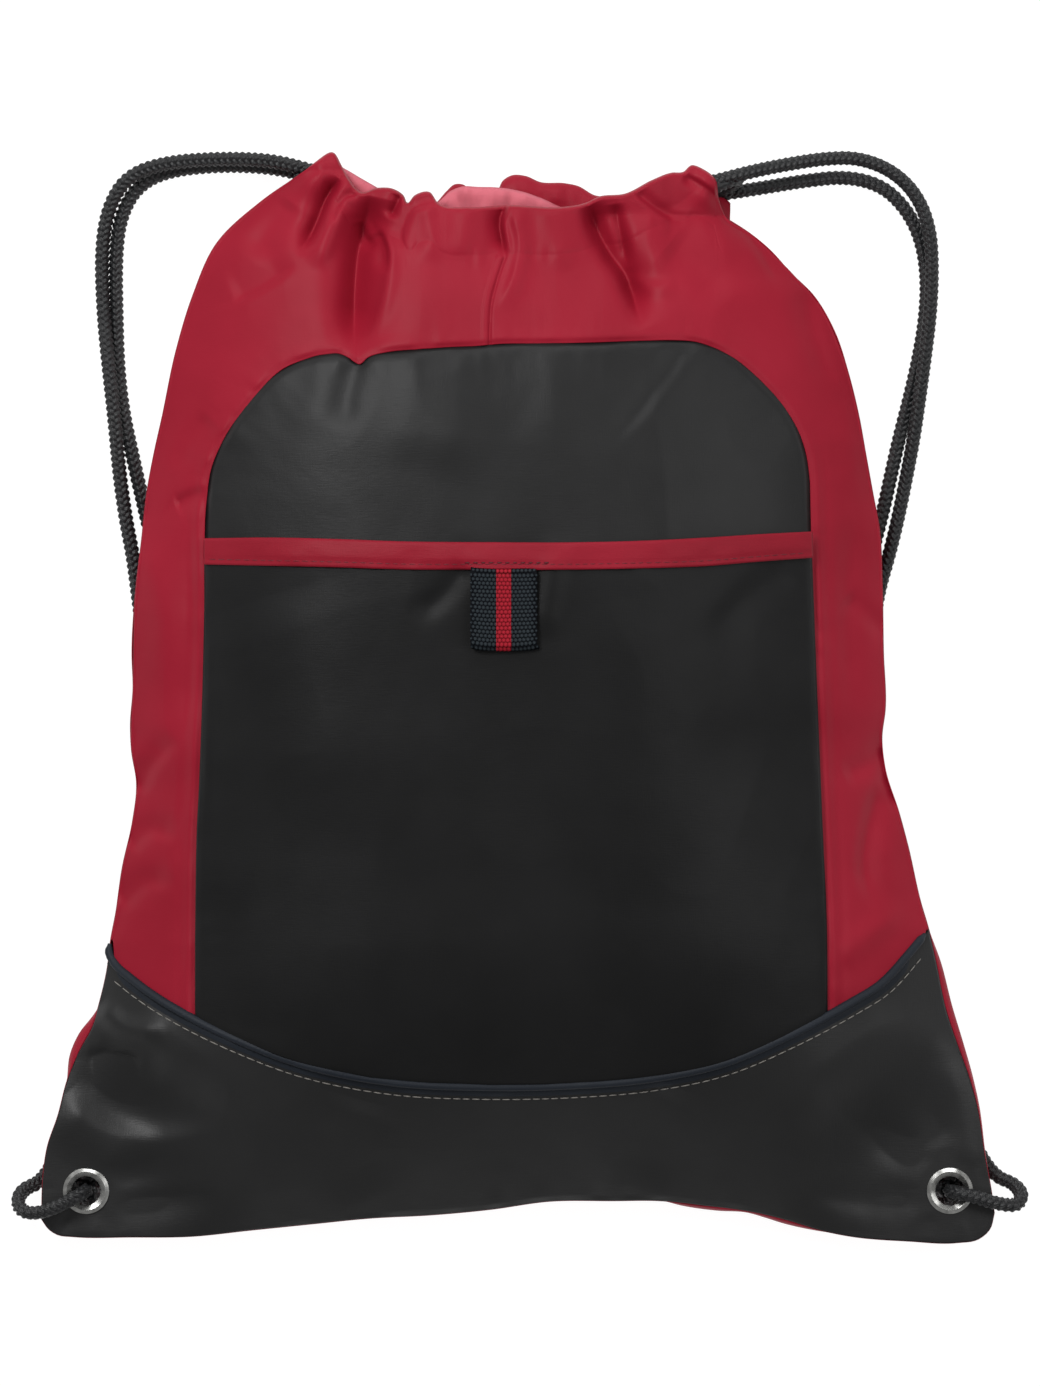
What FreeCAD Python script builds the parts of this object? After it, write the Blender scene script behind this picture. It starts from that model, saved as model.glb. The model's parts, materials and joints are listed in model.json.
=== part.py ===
"""Drawstring backpack lying on its back, filled lightly, mouth gathered, shoulder cords spread at the sides.

Frame: +X to the bag's right as it is seen from the front, +Y from the hem to the mouth, +Z out of the front
panel. The origin is on the floor below the middle of the bag. Millimetres.
"""
import FreeCAD, Part
import math
import os

import Sketcher

Vector = FreeCAD.Vector

# alias, value in mm (or degrees or a plain number), meaning
SIZES = [
    # outline: the y of each station along the side seam, and the half width there
    ("hem_y", -213, "bottom corners"),
    ("hem_half_width", 186, ""),
    ("corner_y", -170, "side seam just above the eyelets"),
    ("corner_half_width", 183, ""),
    ("hip_y", -100, "where the flared base runs into the straight sides"),
    ("hip_half_width", 162, ""),
    ("waist_y", -12, "middle of the bag"),
    ("waist_half_width", 147.5, ""),
    ("chest_y", 60, ""),
    ("chest_half_width", 144, ""),
    ("shoulder_y", 117, "where the gathers begin to pull the sides in"),
    ("shoulder_half_width", 138, ""),
    ("collar_y", 170, ""),
    ("collar_half_width", 114, ""),
    ("mouth_y", 202, "casing ends"),
    ("mouth_half_width", 79, ""),
    ("hem_arch", 16, "how far the hem is drawn up in the middle"),
    # thickness of the filled bag
    ("cloth", 1.5, "coated polyester with its lining and folds, as one skin"),
    ("seam_z", 14, "height of the side and bottom seam above the floor"),
    ("belly_rise", 46, "front skin above the seam, in the middle of the bag"),
    ("collar_rise", 33, "the same at the collar"),
    ("mouth_rise", 24, "the same at the mouth"),
    ("side_fullness", 3, "exponent of the front's cross-section: higher is flatter with steeper sides"),
    ("hem_slope", 110, "length over which the front rises from the hem"),
    ("back_margin", 75, "width over which the back rises to the seam"),
    ("floor_cut", 0.3, "how far the back skin is pressed flat against the floor"),
    # casings, the two tunnels that the cords run through
    ("casing_height", 22, "from the stitch line to the folded edge"),
    ("casing_depth", 10.5, "outside thickness of the filled tunnel"),
    ("casing_cloth", 1.1, ""),
    ("front_casing_y", 184, "middle of the front casing"),
    ("front_casing_z", 38.7, ""),
    ("back_casing_y", 192, ""),
    ("back_casing_z", 5.6, ""),
    ("casing_lane", 3.4, "each cord runs this far from the tunnel's middle"),
    ("casing_gap", 1.3, "between the two casings where they meet at the ends"),
    # front panels
    ("base_top_y", -150, "lowest point of the curved seam between the base and the panels above it"),
    ("base_radius", 256, "radius of that seam"),
    ("pocket_half_width", 119, ""),
    ("arch_top_y", 137, "top of the arched inset"),
    ("arch_corner_radius", 46, ""),
    ("pocket_mouth_y", 62, "top edge of the pocket panel"),
    ("pocket_slack", 9, "gap between the pocket panel and the inset, in the middle of its mouth"),
    ("binding_height", 9.5, ""),
    ("binding_tape", 0.8, ""),
    ("piping_width", 3.7, ""),
    ("piping_height", 2.8, ""),
    # pull tab of folded webbing
    ("tab_width", 25.4, ""),
    ("tab_length", 34, ""),
    ("tab_offset", -4, "its middle, from the bag's centre line"),
    ("webbing", 1.3, ""),
    ("tab_fold_gap", 0.5, "between its two plies"),
    ("tab_clearance", 0.35, ""),
    # corner eyelets
    ("eyelet_inset_x", 17, "from the bag's lower corner to the middle of its eyelet"),
    ("eyelet_inset_y", 20.5, ""),
    ("eyelet_hole_radius", 5.75, ""),
    ("eyelet_flange_radius", 9, ""),
    ("eyelet_metal", 0.5, "sheet thickness of the barrel"),
    ("flange_height", 1.4, ""),
    ("washer_height", 0.9, ""),
    ("eyelet_play", 0.05, ""),
    ("flange_play", 0.2, "round the flange and the washer"),
    ("flange_edge", 0.35, "share of the flange height at its outer edge"),
    ("flange_crown", 0.45, "how far in from the outer edge the flange is highest, as a share"),
    ("flange_lip", 0.4, "share of the flange height at the hole"),
    ("washer_edge", 0.6, "share of the washer height at its outer edge"),
    ("corner_flat", 20, "radius round the eyelet where both skins lie flat together"),
    ("corner_blend", 72, "radius where the filling reaches full height"),
    # cords
    ("cord_diameter", 5.2, ""),
    ("cord_stub", 1, "cord that stands out of each casing end"),
    ("swing_gap", 0.6, "between a fixed cord end and the rounded end of the part that swings"),
    ("u_turn_reach", 11, "how far a cord's turn stands out of the far end of the casings"),
    ("u_turn_rise", 2.5, "how far the turn runs on towards the mouth"),
    ("knot_length", 17, ""),
    ("knot_width", 13, ""),
    ("knot_height", 10.2, ""),
]

# Shoulder cords, from the casing end round to the edge of the bag: hand-laid points (x, y, z).
# The first point of each is the middle of its rounded end, worked out from the casing.
LOOP_ROUTES = {
    "strap_cord_left_front": [
        (-98, 211.8, 17.5), (-118, 212, 12.5), (-139.6, 210, 9), (-153.6, 204.5, 7.4), (-161.4, 192.5, 5.4),
        (-163.4, 176, 3.6), (-162.9, 152, 4.6), (-160.4, 130.3, 7.6), (-158, 108.8, 7.4), (-156.4, 89, 4.6),
        (-153.9, 70.5, 2.8), (-151.6, 56, 2.8)],
    "strap_cord_left_back": [
        (-99, 207.6, 4.8), (-119, 207.4, 2.9), (-137.4, 204.6, 2.7), (-148.4, 198.6, 2.7), (-154.8, 188, 2.7),
        (-157.6, 173, 2.7), (-157.6, 151, 2.7), (-157, 130.3, 2.7), (-155, 112.7, 2.7), (-151.6, 97, 2.7),
        (-148.7, 84, 2.7)],
    "strap_cord_right_front": [
        (97, 201, 17.5), (111, 207.6, 12.5), (126, 212.4, 9), (141, 209.6, 6.4), (154.6, 199.8, 6.6),
        (161.6, 186, 8.2), (162.6, 168, 8.4), (161.6, 151, 8.4), (160, 134.6, 8.2), (158, 118, 7.2),
        (155.6, 102, 4.8), (152.6, 87, 2.8), (150.2, 72, 2.8), (148.2, 58, 2.8)],
    "strap_cord_right_back": [
        (97, 200.6, 5), (112, 202.6, 3), (129, 205, 2.7), (143, 201.4, 2.7), (152.6, 192, 2.7),
        (158.4, 180, 2.7), (160.6, 165, 2.7), (159.8, 149, 2.7), (157.2, 133.6, 2.7), (153.8, 118.6, 2.7),
        (150, 104, 2.7), (146.8, 90, 2.7)],
}
# Under the bag, from the edge down to the corner. A front cord goes out round the corner, over the front and
# down through the eyelet; a back cord goes straight to the knot.
TAIL_ROUTES = {
    "tail_cord_left_front": [
        (-149.8, 42, 2.7), (-146.6, 22, 2.7), (-144.6, -12, 2.7), (-147, -50, 2.7), (-153, -88, 2.7),
        (-161, -122, 2.7), (-171, -154, 2.7), (-180.5, -179, 3), (-187, -189.5, 5.4), (-193.8, -192, 8.2),
        (-196.3, -196.8, 13.4), (-193.6, -200.8, 18.8), (-186.6, -201, 21.2), (-177.6, -197.4, 21.2),
        (-169, -192.5, 20.2), (-169, -192.5, 8)],
    "tail_cord_left_back": [
        (-146.2, 73, 2.7), (-141, 52, 2.7), (-136.6, 22, 2.7), (-134.6, -14, 2.7), (-136.4, -52, 2.7),
        (-141.6, -90, 2.7), (-148.6, -126, 2.7), (-156, -156, 2.8), (-163, -181, 4.6)],
    "tail_cord_right_front": [
        (146, 44, 2.7), (143.6, 22, 2.7), (143, -12, 2.7), (147, -50, 2.7), (153, -88, 2.7),
        (161, -122, 2.7), (171, -154, 2.7), (180.5, -178, 3), (187.4, -187.5, 5.4), (194.4, -189.8, 8.2),
        (197.6, -194.2, 13.4), (195.4, -198.2, 18.8), (187.6, -197.4, 21.2), (178.4, -194.4, 21.2),
        (169, -192.5, 20.2), (169, -192.5, 8)],
    "tail_cord_right_back": [
        (144.4, 79, 2.7), (139.4, 56, 2.7), (135.6, 24, 2.7), (134.2, -14, 2.7), (136.4, -52, 2.7),
        (141.6, -90, 2.7), (148.6, -126, 2.7), (156, -156, 2.8), (163, -181, 4.6)],
}
KNOT_PLACE = (-165.4, -187.4, 6.2)
ARC_SHARE = 0.45          # part of the shorter run that an arc of a cord takes up
CASING_STATIONS = 9       # cross-sections along each casing
GRID_ACROSS = 23          # points of the skins' surfaces from side seam to side seam
GRID_ALONG = 25           # and from the hem to the mouth
SKIN_DEGREE = 3           # of those surfaces


document = FreeCAD.newDocument("drawstring_backpack")
sheet = document.addObject("Spreadsheet::Sheet", "sizes")
for row, (alias, value, meaning) in enumerate(SIZES, start=1):
    sheet.set("A%d" % row, meaning or alias.replace("_", " "))
    sheet.set("B%d" % row, str(value))
    sheet.setAlias("B%d" % row, alias)
document.recompute()
size = {alias: float(sheet.get(alias)) for alias, value, meaning in SIZES}
parts = []


def keep(item, label):
    """Mark a document object as a sub-part of the bag and give it its name."""
    item.Label = label
    parts.append(item)
    return item


def bind(item, expressions):
    """Bind properties of an object to cells of the sheet."""
    for name, expression in expressions.items():
        item.setExpression(name, expression)
    return item


def primitive(kind, name, expressions):
    return bind(document.addObject("Part::" + kind, name), expressions)


def feature(name, shape):
    item = document.addObject("Part::Feature", name)
    item.Shape = shape
    return item


def cut(name, base, tool):
    item = document.addObject("Part::Cut", name)
    item.Base = base
    item.Tool = tool
    return item


def common(name, *shapes):
    item = document.addObject("Part::MultiCommon", name)
    item.Shapes = list(shapes)
    return item


def fuse(name, *shapes):
    item = document.addObject("Part::MultiFuse", name)
    item.Shapes = list(shapes)
    return item


def plane_of(body, role):
    return next(item for item in body.Origin.OriginFeatures if item.Role == role)


def sketch_on(body, role, name):
    sketch = body.newObject("Sketcher::SketchObject", name)
    sketch.AttachmentSupport = [(plane_of(body, role), "")]
    sketch.MapMode = "FlatFace"
    return sketch


def place_point(sketch, geometry, point, across, up):
    """Fix a sketch point by two expressions of the sheet, across and up from the sketch's origin."""
    for kind, expression in (("DistanceX", across), ("DistanceY", up)):
        value = sketch_value(expression)
        index = sketch.addConstraint(Sketcher.Constraint(kind, -1, 1, geometry, point, value))
        sketch.setExpression("Constraints[%d]" % index, expression)


def sketch_value(expression):
    """Value of an expression such as sizes.cloth + 2 * sizes.webbing, for a sketch's first draft."""
    words = expression.replace("(", " ( ").replace(")", " ) ").replace("*", " * ").split()
    total = [[]]
    for word in words:
        if word == "(":
            total.append([])
        elif word == ")":
            inner = total.pop()
            total[-1].append(evaluate(inner))
        elif word in ("+", "-", "*", "/"):
            total[-1].append(word)
        elif word.startswith("-sizes."):
            total[-1].append(-size[word[7:]])
        elif word.startswith("sizes."):
            total[-1].append(size[word[6:]])
        else:
            total[-1].append(float(word))
    return evaluate(total[0])


def evaluate(tokens):
    """Value of numbers and signs in a row: products first, then sums."""
    terms = [tokens[0] if tokens[0] != "-" else -tokens[1]]
    rest = tokens[1:] if tokens[0] != "-" else tokens[2:]
    for sign, number in zip(rest[0::2], rest[1::2]):
        if sign == "*":
            terms[-1] *= number
        elif sign == "/":
            terms[-1] /= number
        else:
            terms.append(number if sign == "+" else -number)
    return sum(terms)


def polygon(sketch, corners):
    """A closed outline through corners, each a pair of expressions."""
    points = [Vector(sketch_value(a), sketch_value(b), 0) for a, b in corners]
    count = len(points)
    for i in range(count):
        sketch.addGeometry(Part.LineSegment(points[i], points[(i + 1) % count]), False)
    for i in range(count):
        sketch.addConstraint(Sketcher.Constraint("Coincident", i, 2, (i + 1) % count, 1))
    for i, (across, up) in enumerate(corners):
        place_point(sketch, i, 1, across, up)


def slot(sketch, middle_x, middle_y, length, radius):
    """A slot with its long axis along the sketch's x: two round ends and two straight sides."""
    half = sketch_value(length) / 2 - sketch_value(radius)
    r = sketch_value(radius)
    x, y = sketch_value(middle_x), sketch_value(middle_y)
    left, right = Vector(x - half, y, 0), Vector(x + half, y, 0)
    axis = Vector(0, 0, 1)
    quarter = math.pi / 2
    up = Vector(0, r, 0)
    sketch.addGeometry(Part.LineSegment(left - up, right - up), False)
    sketch.addGeometry(Part.ArcOfCircle(Part.Circle(right, axis, r), -quarter, quarter), False)
    sketch.addGeometry(Part.LineSegment(right + up, left + up), False)
    sketch.addGeometry(Part.ArcOfCircle(Part.Circle(left, axis, r), quarter, 3 * quarter), False)
    for i in range(4):
        sketch.addConstraint(Sketcher.Constraint("Tangent", i, 2, (i + 1) % 4, 1))
    sketch.addConstraint(Sketcher.Constraint("Equal", 1, 3))
    sketch.addConstraint(Sketcher.Constraint("Horizontal", 0))
    spacing = "%s - 2 * ( %s )" % (length, radius)
    place_point(sketch, 3, 3, "%s - ( %s ) / 2" % (middle_x, spacing), middle_y)
    index = sketch.addConstraint(Sketcher.Constraint("DistanceX", 3, 3, 1, 3, 2 * half))
    sketch.setExpression("Constraints[%d]" % index, spacing)
    index = sketch.addConstraint(Sketcher.Constraint("Radius", 1, r))
    sketch.setExpression("Constraints[%d]" % index, radius)


# ---------------------------------------------------------------- the filled shape
def smooth_curve(stations):
    """Function through (place, value) stations with no overshoot between them."""
    places = [place for place, value in stations]
    values = [value for place, value in stations]
    steps = [b - a for a, b in zip(places, places[1:])]
    slopes = [(b - a) / step for a, b, step in zip(values, values[1:], steps)]
    tangents = [slopes[0]]
    for left, right in zip(slopes, slopes[1:]):
        tangents.append(0 if left * right <= 0 else 2 * left * right / (left + right))
    tangents.append(slopes[-1])

    def value_at(place):
        place = min(max(place, places[0]), places[-1])
        i = max(k for k in range(len(steps)) if places[k] <= place)
        s = (place - places[i]) / steps[i]
        return (values[i] * (1 + 2 * s) * (1 - s) ** 2 + tangents[i] * steps[i] * s * (1 - s) ** 2
                + values[i + 1] * s * s * (3 - 2 * s) - tangents[i + 1] * steps[i] * s * s * (1 - s))

    return value_at


OUTLINE = ("hem", "corner", "hip", "waist", "chest", "shoulder", "collar", "mouth")
half_width = smooth_curve([(size[name + "_y"], size[name + "_half_width"]) for name in OUTLINE])
front_rise = smooth_curve([(size["hem_y"], size["belly_rise"]), (size["chest_y"], size["belly_rise"]),
                           (size["collar_y"], size["collar_rise"]), (size["mouth_y"], size["mouth_rise"])])


def hem_line(t):
    return size["hem_y"] + size["hem_arch"] * (1 - t * t)


def mouth_line(side, t):
    """The middle line of a casing, which the skin below it runs up to; t is -1 to 1 from side to side."""
    middle = size[side + "_casing_y"]
    return middle + (size["mouth_y"] - middle) * t * t


def corner_fullness(x, y):
    """0 where the corner is pressed flat round its eyelet, 1 where the filling is at full height."""
    away = math.hypot(abs(x) - size["hem_half_width"] + size["eyelet_inset_x"],
                      y - size["hem_y"] - size["eyelet_inset_y"])
    s = (away - size["corner_flat"]) / (size["corner_blend"] - size["corner_flat"])
    s = min(max(s, 0), 1)
    return s * s * (3 - 2 * s)


def front_height(t, x, y):
    """Height of the front skin's inner face above the seam."""
    hem = max(0, 1 - (y - hem_line(t)) / size["hem_slope"])
    return (front_rise(y) * (1 - abs(t) ** size["side_fullness"]) * (1 - hem * hem) * corner_fullness(x, y))


def back_depth(t, x, y):
    """Depth of the back skin's inner face below the seam."""
    reach = size["seam_z"] - size["cloth"] + size["floor_cut"]
    side = max(0, 1 - half_width(y) * (1 - abs(t)) / size["back_margin"]) ** 1.5
    hem = max(0, 1 - (y - hem_line(t)) / size["back_margin"]) ** 1.5
    return reach * (1 - side) * (1 - hem) * corner_fullness(x, y)


def pocket_gap(x, y):
    """Slack between the inset and the pocket panel over it."""
    across = 1 - (x / size["pocket_half_width"]) ** 2
    down = (size["pocket_mouth_y"] - y) / (size["pocket_mouth_y"] - size["base_top_y"])
    return size["pocket_slack"] * across * (1 - down * down)


def skin_point(side, i, j, lift):
    """Point of a skin at grid place i across and j along, with its height from the function lift."""
    t = 2 * i / (GRID_ACROSS - 1) - 1
    v = j / (GRID_ALONG - 1)
    seam_y = size["hem_y"] + v * (size["mouth_y"] - size["hem_y"])
    y = hem_line(t) + v * (mouth_line(side, t) - hem_line(t))
    x = t * half_width(seam_y)
    return Vector(x, y, lift(t, x, y))


def skin(side, lift, thickness):
    """A smooth curved sheet controlled by the skin's points, given its thickness straight up or down."""
    poles = [[skin_point(side, i, j, lift) for j in range(GRID_ALONG)] for i in range(GRID_ACROSS)]
    knots, repeats = [], []
    for count in (GRID_ACROSS, GRID_ALONG):
        spans = count - SKIN_DEGREE
        knots.append([float(k) for k in range(spans + 1)])
        repeats.append([SKIN_DEGREE + 1] + [1] * (spans - 1) + [SKIN_DEGREE + 1])
    surface = Part.BSplineSurface()
    surface.buildFromPolesMultsKnots(poles, repeats[0], repeats[1], knots[0], knots[1], False, False,
                                     SKIN_DEGREE, SKIN_DEGREE)
    return surface.toShape().extrude(Vector(0, 0, thickness))


def front_inner(t, x, y):
    return size["seam_z"] + front_height(t, x, y)


def front_outer(t, x, y):
    return front_inner(t, x, y) + size["cloth"]


def back_inner(t, x, y):
    return size["seam_z"] - back_depth(t, x, y)


def pocket_inner(t, x, y):
    return front_outer(t, x, y) + pocket_gap(x, y)


# ---------------------------------------------------------------- casings
CASING_END_Z = {"front": "sizes.seam_z + ( sizes.casing_depth + sizes.casing_gap ) / 2",
                "back": "sizes.seam_z - ( sizes.casing_depth + sizes.casing_gap ) / 2"}


def casing_middle(side, t):
    """Middle of a casing's tunnel at t, as expressions of x, y and z."""
    square = "%.6f" % (t * t)
    y = "sizes.%s_casing_y + ( sizes.mouth_y - sizes.%s_casing_y ) * %s" % (side, side, square)
    z = "sizes.%s_casing_z + ( %s - sizes.%s_casing_z ) * %s" % (side, CASING_END_Z[side], side, square)
    return "sizes.mouth_half_width * %.6f" % t, y, z


def casing(side):
    """A tunnel of folded cloth, open at both ends, lofted through stations from end to end."""
    body = document.addObject("PartDesign::Body", side + "_casing_body")
    lofts = []
    for role, inset in (("outer", "0"), ("inner", "sizes.casing_cloth")):
        sketches = []
        for k in range(CASING_STATIONS):
            t = 2 * k / (CASING_STATIONS - 1) - 1
            x, y, z = casing_middle(side, t)
            sketch = sketch_on(body, "YZ_Plane", "%s_%s_section_%d" % (side, role, k))
            slot(sketch, y, z, "sizes.casing_height - 2 * %s" % inset, "sizes.casing_depth / 2 - %s" % inset)
            sketch.AttachmentOffset = FreeCAD.Placement(Vector(0, 0, sketch_value(x)), FreeCAD.Rotation())
            sketch.setExpression("AttachmentOffset.Base.z", x)
            sketches.append(sketch)
        kind = "PartDesign::AdditiveLoft" if role == "outer" else "PartDesign::SubtractiveLoft"
        loft = body.newObject(kind, "%s_%s_loft" % (side, role))
        loft.Profile = sketches[0]
        loft.Sections = sketches[1:]
        loft.Ruled = True
        document.recompute()
        lofts.append(loft)
    return body, feature(side + "_casing_core", lofts[0].Shape.copy())


front_casing, front_core = casing("front")
back_casing, back_core = casing("back")
keep(front_casing, "front_casing")
keep(back_casing, "back_casing")

# ---------------------------------------------------------------- cloth panels
cloth = size["cloth"]
front_skin = feature("front_skin", skin("front", front_inner, cloth))
back_skin = feature("back_skin", skin("back", back_inner, -cloth))
pocket_skin = feature("pocket_skin", skin("front", pocket_inner, cloth))
binding_skin = feature("binding_skin", skin("front", lambda t, x, y: pocket_inner(t, x, y) - size["binding_tape"],
                                            cloth + 2 * size["binding_tape"]))
piping_skin = feature("piping_skin", skin("front", front_outer, size["piping_height"]))

REACH = "2 * sizes.hem_half_width"
EYELET_X = "(sizes.hem_half_width - sizes.eyelet_inset_x)"
EYELET_Y = "sizes.hem_y + sizes.eyelet_inset_y"
floor_to_seam = primitive("Box", "floor_to_seam", {
    "Length": "2 * " + REACH, "Width": "2 * " + REACH, "Height": "sizes.seam_z",
    "Placement.Base.x": "-" + REACH, "Placement.Base.y": "-" + REACH})
above_seam = primitive("Box", "above_seam", {
    "Length": "2 * " + REACH, "Width": "2 * " + REACH, "Height": REACH,
    "Placement.Base.x": "-" + REACH, "Placement.Base.y": "-" + REACH, "Placement.Base.z": "sizes.seam_z"})
left_half = primitive("Box", "left_half", {
    "Length": REACH, "Width": "2 * " + REACH, "Height": REACH,
    "Placement.Base.x": "-" + REACH, "Placement.Base.y": "-" + REACH})
right_half = primitive("Box", "right_half", {
    "Length": REACH, "Width": "2 * " + REACH, "Height": REACH, "Placement.Base.y": "-" + REACH})
above_base = primitive("Cylinder", "above_base", {
    "Radius": "sizes.base_radius", "Height": REACH,
    "Placement.Base.y": "sizes.base_top_y + sizes.base_radius"})
piping_outside = primitive("Cylinder", "piping_outside", {
    "Radius": "sizes.base_radius + sizes.piping_width / 2", "Height": REACH,
    "Placement.Base.y": "sizes.base_top_y + sizes.base_radius"})
piping_inside = primitive("Cylinder", "piping_inside", {
    "Radius": "sizes.base_radius - sizes.piping_width / 2", "Height": REACH,
    "Placement.Base.y": "sizes.base_top_y + sizes.base_radius"})

arch_body = document.addObject("PartDesign::Body", "arch_body")
arch_sketch = sketch_on(arch_body, "XY_Plane", "arch_outline")


def arch_outline(sketch):
    """The inset's outline: straight sides, a straight top and two round corners."""
    half, top, corner = size["pocket_half_width"], size["arch_top_y"], size["arch_corner_radius"]
    bottom = size["base_top_y"] - size["hem_arch"]
    axis = Vector(0, 0, 1)
    quarter = math.pi / 2
    right, left = Vector(half - corner, top - corner, 0), Vector(corner - half, top - corner, 0)
    sketch.addGeometry(Part.LineSegment(Vector(-half, bottom, 0), Vector(half, bottom, 0)), False)
    sketch.addGeometry(Part.LineSegment(Vector(half, bottom, 0), Vector(half, top - corner, 0)), False)
    sketch.addGeometry(Part.ArcOfCircle(Part.Circle(right, axis, corner), 0, quarter), False)
    sketch.addGeometry(Part.LineSegment(Vector(half - corner, top, 0), Vector(corner - half, top, 0)), False)
    sketch.addGeometry(Part.ArcOfCircle(Part.Circle(left, axis, corner), quarter, math.pi), False)
    sketch.addGeometry(Part.LineSegment(Vector(-half, top - corner, 0), Vector(-half, bottom, 0)), False)
    for first, second in ((1, 2), (2, 3), (3, 4), (4, 5)):
        sketch.addConstraint(Sketcher.Constraint("Tangent", first, 2, second, 1))
    sketch.addConstraint(Sketcher.Constraint("Coincident", 5, 2, 0, 1))
    sketch.addConstraint(Sketcher.Constraint("Coincident", 0, 2, 1, 1))
    sketch.addConstraint(Sketcher.Constraint("Equal", 2, 4))
    sketch.addConstraint(Sketcher.Constraint("Horizontal", 3))
    place_point(sketch, 0, 1, "-sizes.pocket_half_width", "sizes.base_top_y - sizes.hem_arch")
    place_point(sketch, 0, 2, "sizes.pocket_half_width", "sizes.base_top_y - sizes.hem_arch")
    index = sketch.addConstraint(Sketcher.Constraint("Radius", 2, corner))
    sketch.setExpression("Constraints[%d]" % index, "sizes.arch_corner_radius")
    index = sketch.addConstraint(Sketcher.Constraint("DistanceY", -1, 1, 3, 1, top))
    sketch.setExpression("Constraints[%d]" % index, "sizes.arch_top_y")
    sketch.addConstraint(Sketcher.Constraint("Vertical", 1))


arch_outline(arch_sketch)
inset_prism = arch_body.newObject("PartDesign::Pad", "inset_prism")
inset_prism.Profile = arch_sketch
inset_prism.setExpression("Length", REACH)
pocket_zone = primitive("Box", "pocket_zone", {
    "Length": "2 * sizes.pocket_half_width", "Width": REACH, "Height": REACH,
    "Placement.Base.x": "-sizes.pocket_half_width",
    "Placement.Base.y": "sizes.pocket_mouth_y - " + REACH})
binding_zone = primitive("Box", "binding_zone", {
    "Length": "2 * sizes.pocket_half_width", "Width": "sizes.binding_height", "Height": REACH,
    "Placement.Base.x": "-sizes.pocket_half_width",
    "Placement.Base.y": "sizes.pocket_mouth_y + sizes.binding_tape - sizes.binding_height"})
eyelet_seats = {}
for name, side in (("left", "-"), ("right", "")):
    eyelet_seats[name] = primitive("Cylinder", "eyelet_seat_" + name, {
        "Radius": "sizes.eyelet_hole_radius + sizes.eyelet_metal + sizes.eyelet_play", "Height": REACH,
        "Placement.Base.x": side + EYELET_X, "Placement.Base.y": EYELET_Y,
        "Placement.Base.z": "-sizes.hem_half_width"})
    eyelet_seats[name + "_flange"] = primitive("Cylinder", "flange_seat_" + name, {
        "Radius": "sizes.eyelet_flange_radius + sizes.flange_play", "Height": "sizes.corner_flat",
        "Placement.Base.x": side + EYELET_X, "Placement.Base.y": EYELET_Y,
        "Placement.Base.z": "sizes.seam_z + sizes.cloth"})
    eyelet_seats[name + "_washer"] = primitive("Cylinder", "washer_seat_" + name, {
        "Radius": "sizes.eyelet_flange_radius + sizes.flange_play", "Height": "sizes.seam_z - sizes.cloth",
        "Placement.Base.x": side + EYELET_X, "Placement.Base.y": EYELET_Y})
front_holes = fuse("front_holes", eyelet_seats["left"], eyelet_seats["right"],
                   eyelet_seats["left_flange"], eyelet_seats["right_flange"])
back_holes = fuse("back_holes", eyelet_seats["left"], eyelet_seats["right"],
                  eyelet_seats["left_washer"], eyelet_seats["right_washer"])
document.recompute()

back_pressed = common("back_pressed", back_skin, floor_to_seam)
front_cloth = common("front_cloth", front_skin, above_seam)
back_below_casing = cut("back_below_casing", back_pressed, back_core)
keep(cut("back_panel_cut", back_below_casing, back_holes), "back_panel")
base_cloth = cut("base_cloth", front_cloth, above_base)
keep(cut("base_panel_cut", base_cloth, front_holes), "base_panel")
upper_cloth = common("upper_cloth", front_cloth, above_base)
frame_cloth = cut("frame_cloth", upper_cloth, arch_body)
frame_below_casing = cut("frame_below_casing", frame_cloth, front_core)
keep(common("frame_left_cut", frame_below_casing, left_half), "front_frame_left")
keep(common("frame_right_cut", frame_below_casing, right_half), "front_frame_right")
keep(common("pocket_backing_cut", upper_cloth, arch_body), "pocket_backing")
piping_ring = cut("piping_ring", piping_outside, piping_inside)
piping = keep(common("piping_cut", piping_skin, piping_ring), "piping")
pocket_cloth = common("pocket_cloth", pocket_skin, pocket_zone, above_base)
pocket_panel = keep(cut("pocket_panel_cut", pocket_cloth, piping), "pocket_panel")
binding_tape = common("binding_tape", binding_skin, binding_zone)
binding_clear = cut("binding_clear", binding_tape, pocket_panel)
keep(cut("binding_cut", binding_clear, upper_cloth), "pocket_binding")
document.recompute()


# ---------------------------------------------------------------- pull tab
def front_z_on_centre(y):
    """Height of the pocket panel's outer face on the centre line."""
    return pocket_inner(0, 0, y) + size["cloth"]


def pull_tab():
    """Webbing folded in half, its cut ends sewn in at the binding's lower edge: padded from its side view."""
    body = document.addObject("PartDesign::Body", "pull_tab_body")
    sketch = sketch_on(body, "YZ_Plane", "fold_profile")
    tip = "-sizes.tab_length"
    near = "-sizes.tab_clearance"
    polygon(sketch, [
        (near, "-sizes.webbing - sizes.tab_fold_gap / 2"), (near, "-sizes.tab_fold_gap / 2"),
        ("-sizes.tab_length + sizes.webbing", "-sizes.tab_fold_gap / 2"),
        ("-sizes.tab_length + sizes.webbing", "sizes.tab_fold_gap / 2"),
        (near, "sizes.tab_fold_gap / 2"), (near, "sizes.webbing + sizes.tab_fold_gap / 2"),
        (tip, "sizes.webbing + sizes.tab_fold_gap / 2"), (tip, "-sizes.webbing - sizes.tab_fold_gap / 2")])
    pad = body.newObject("PartDesign::Pad", "fold")
    pad.Profile = sketch
    pad.SideType = "Symmetric"
    pad.setExpression("Length", "sizes.tab_width")
    return body


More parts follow.
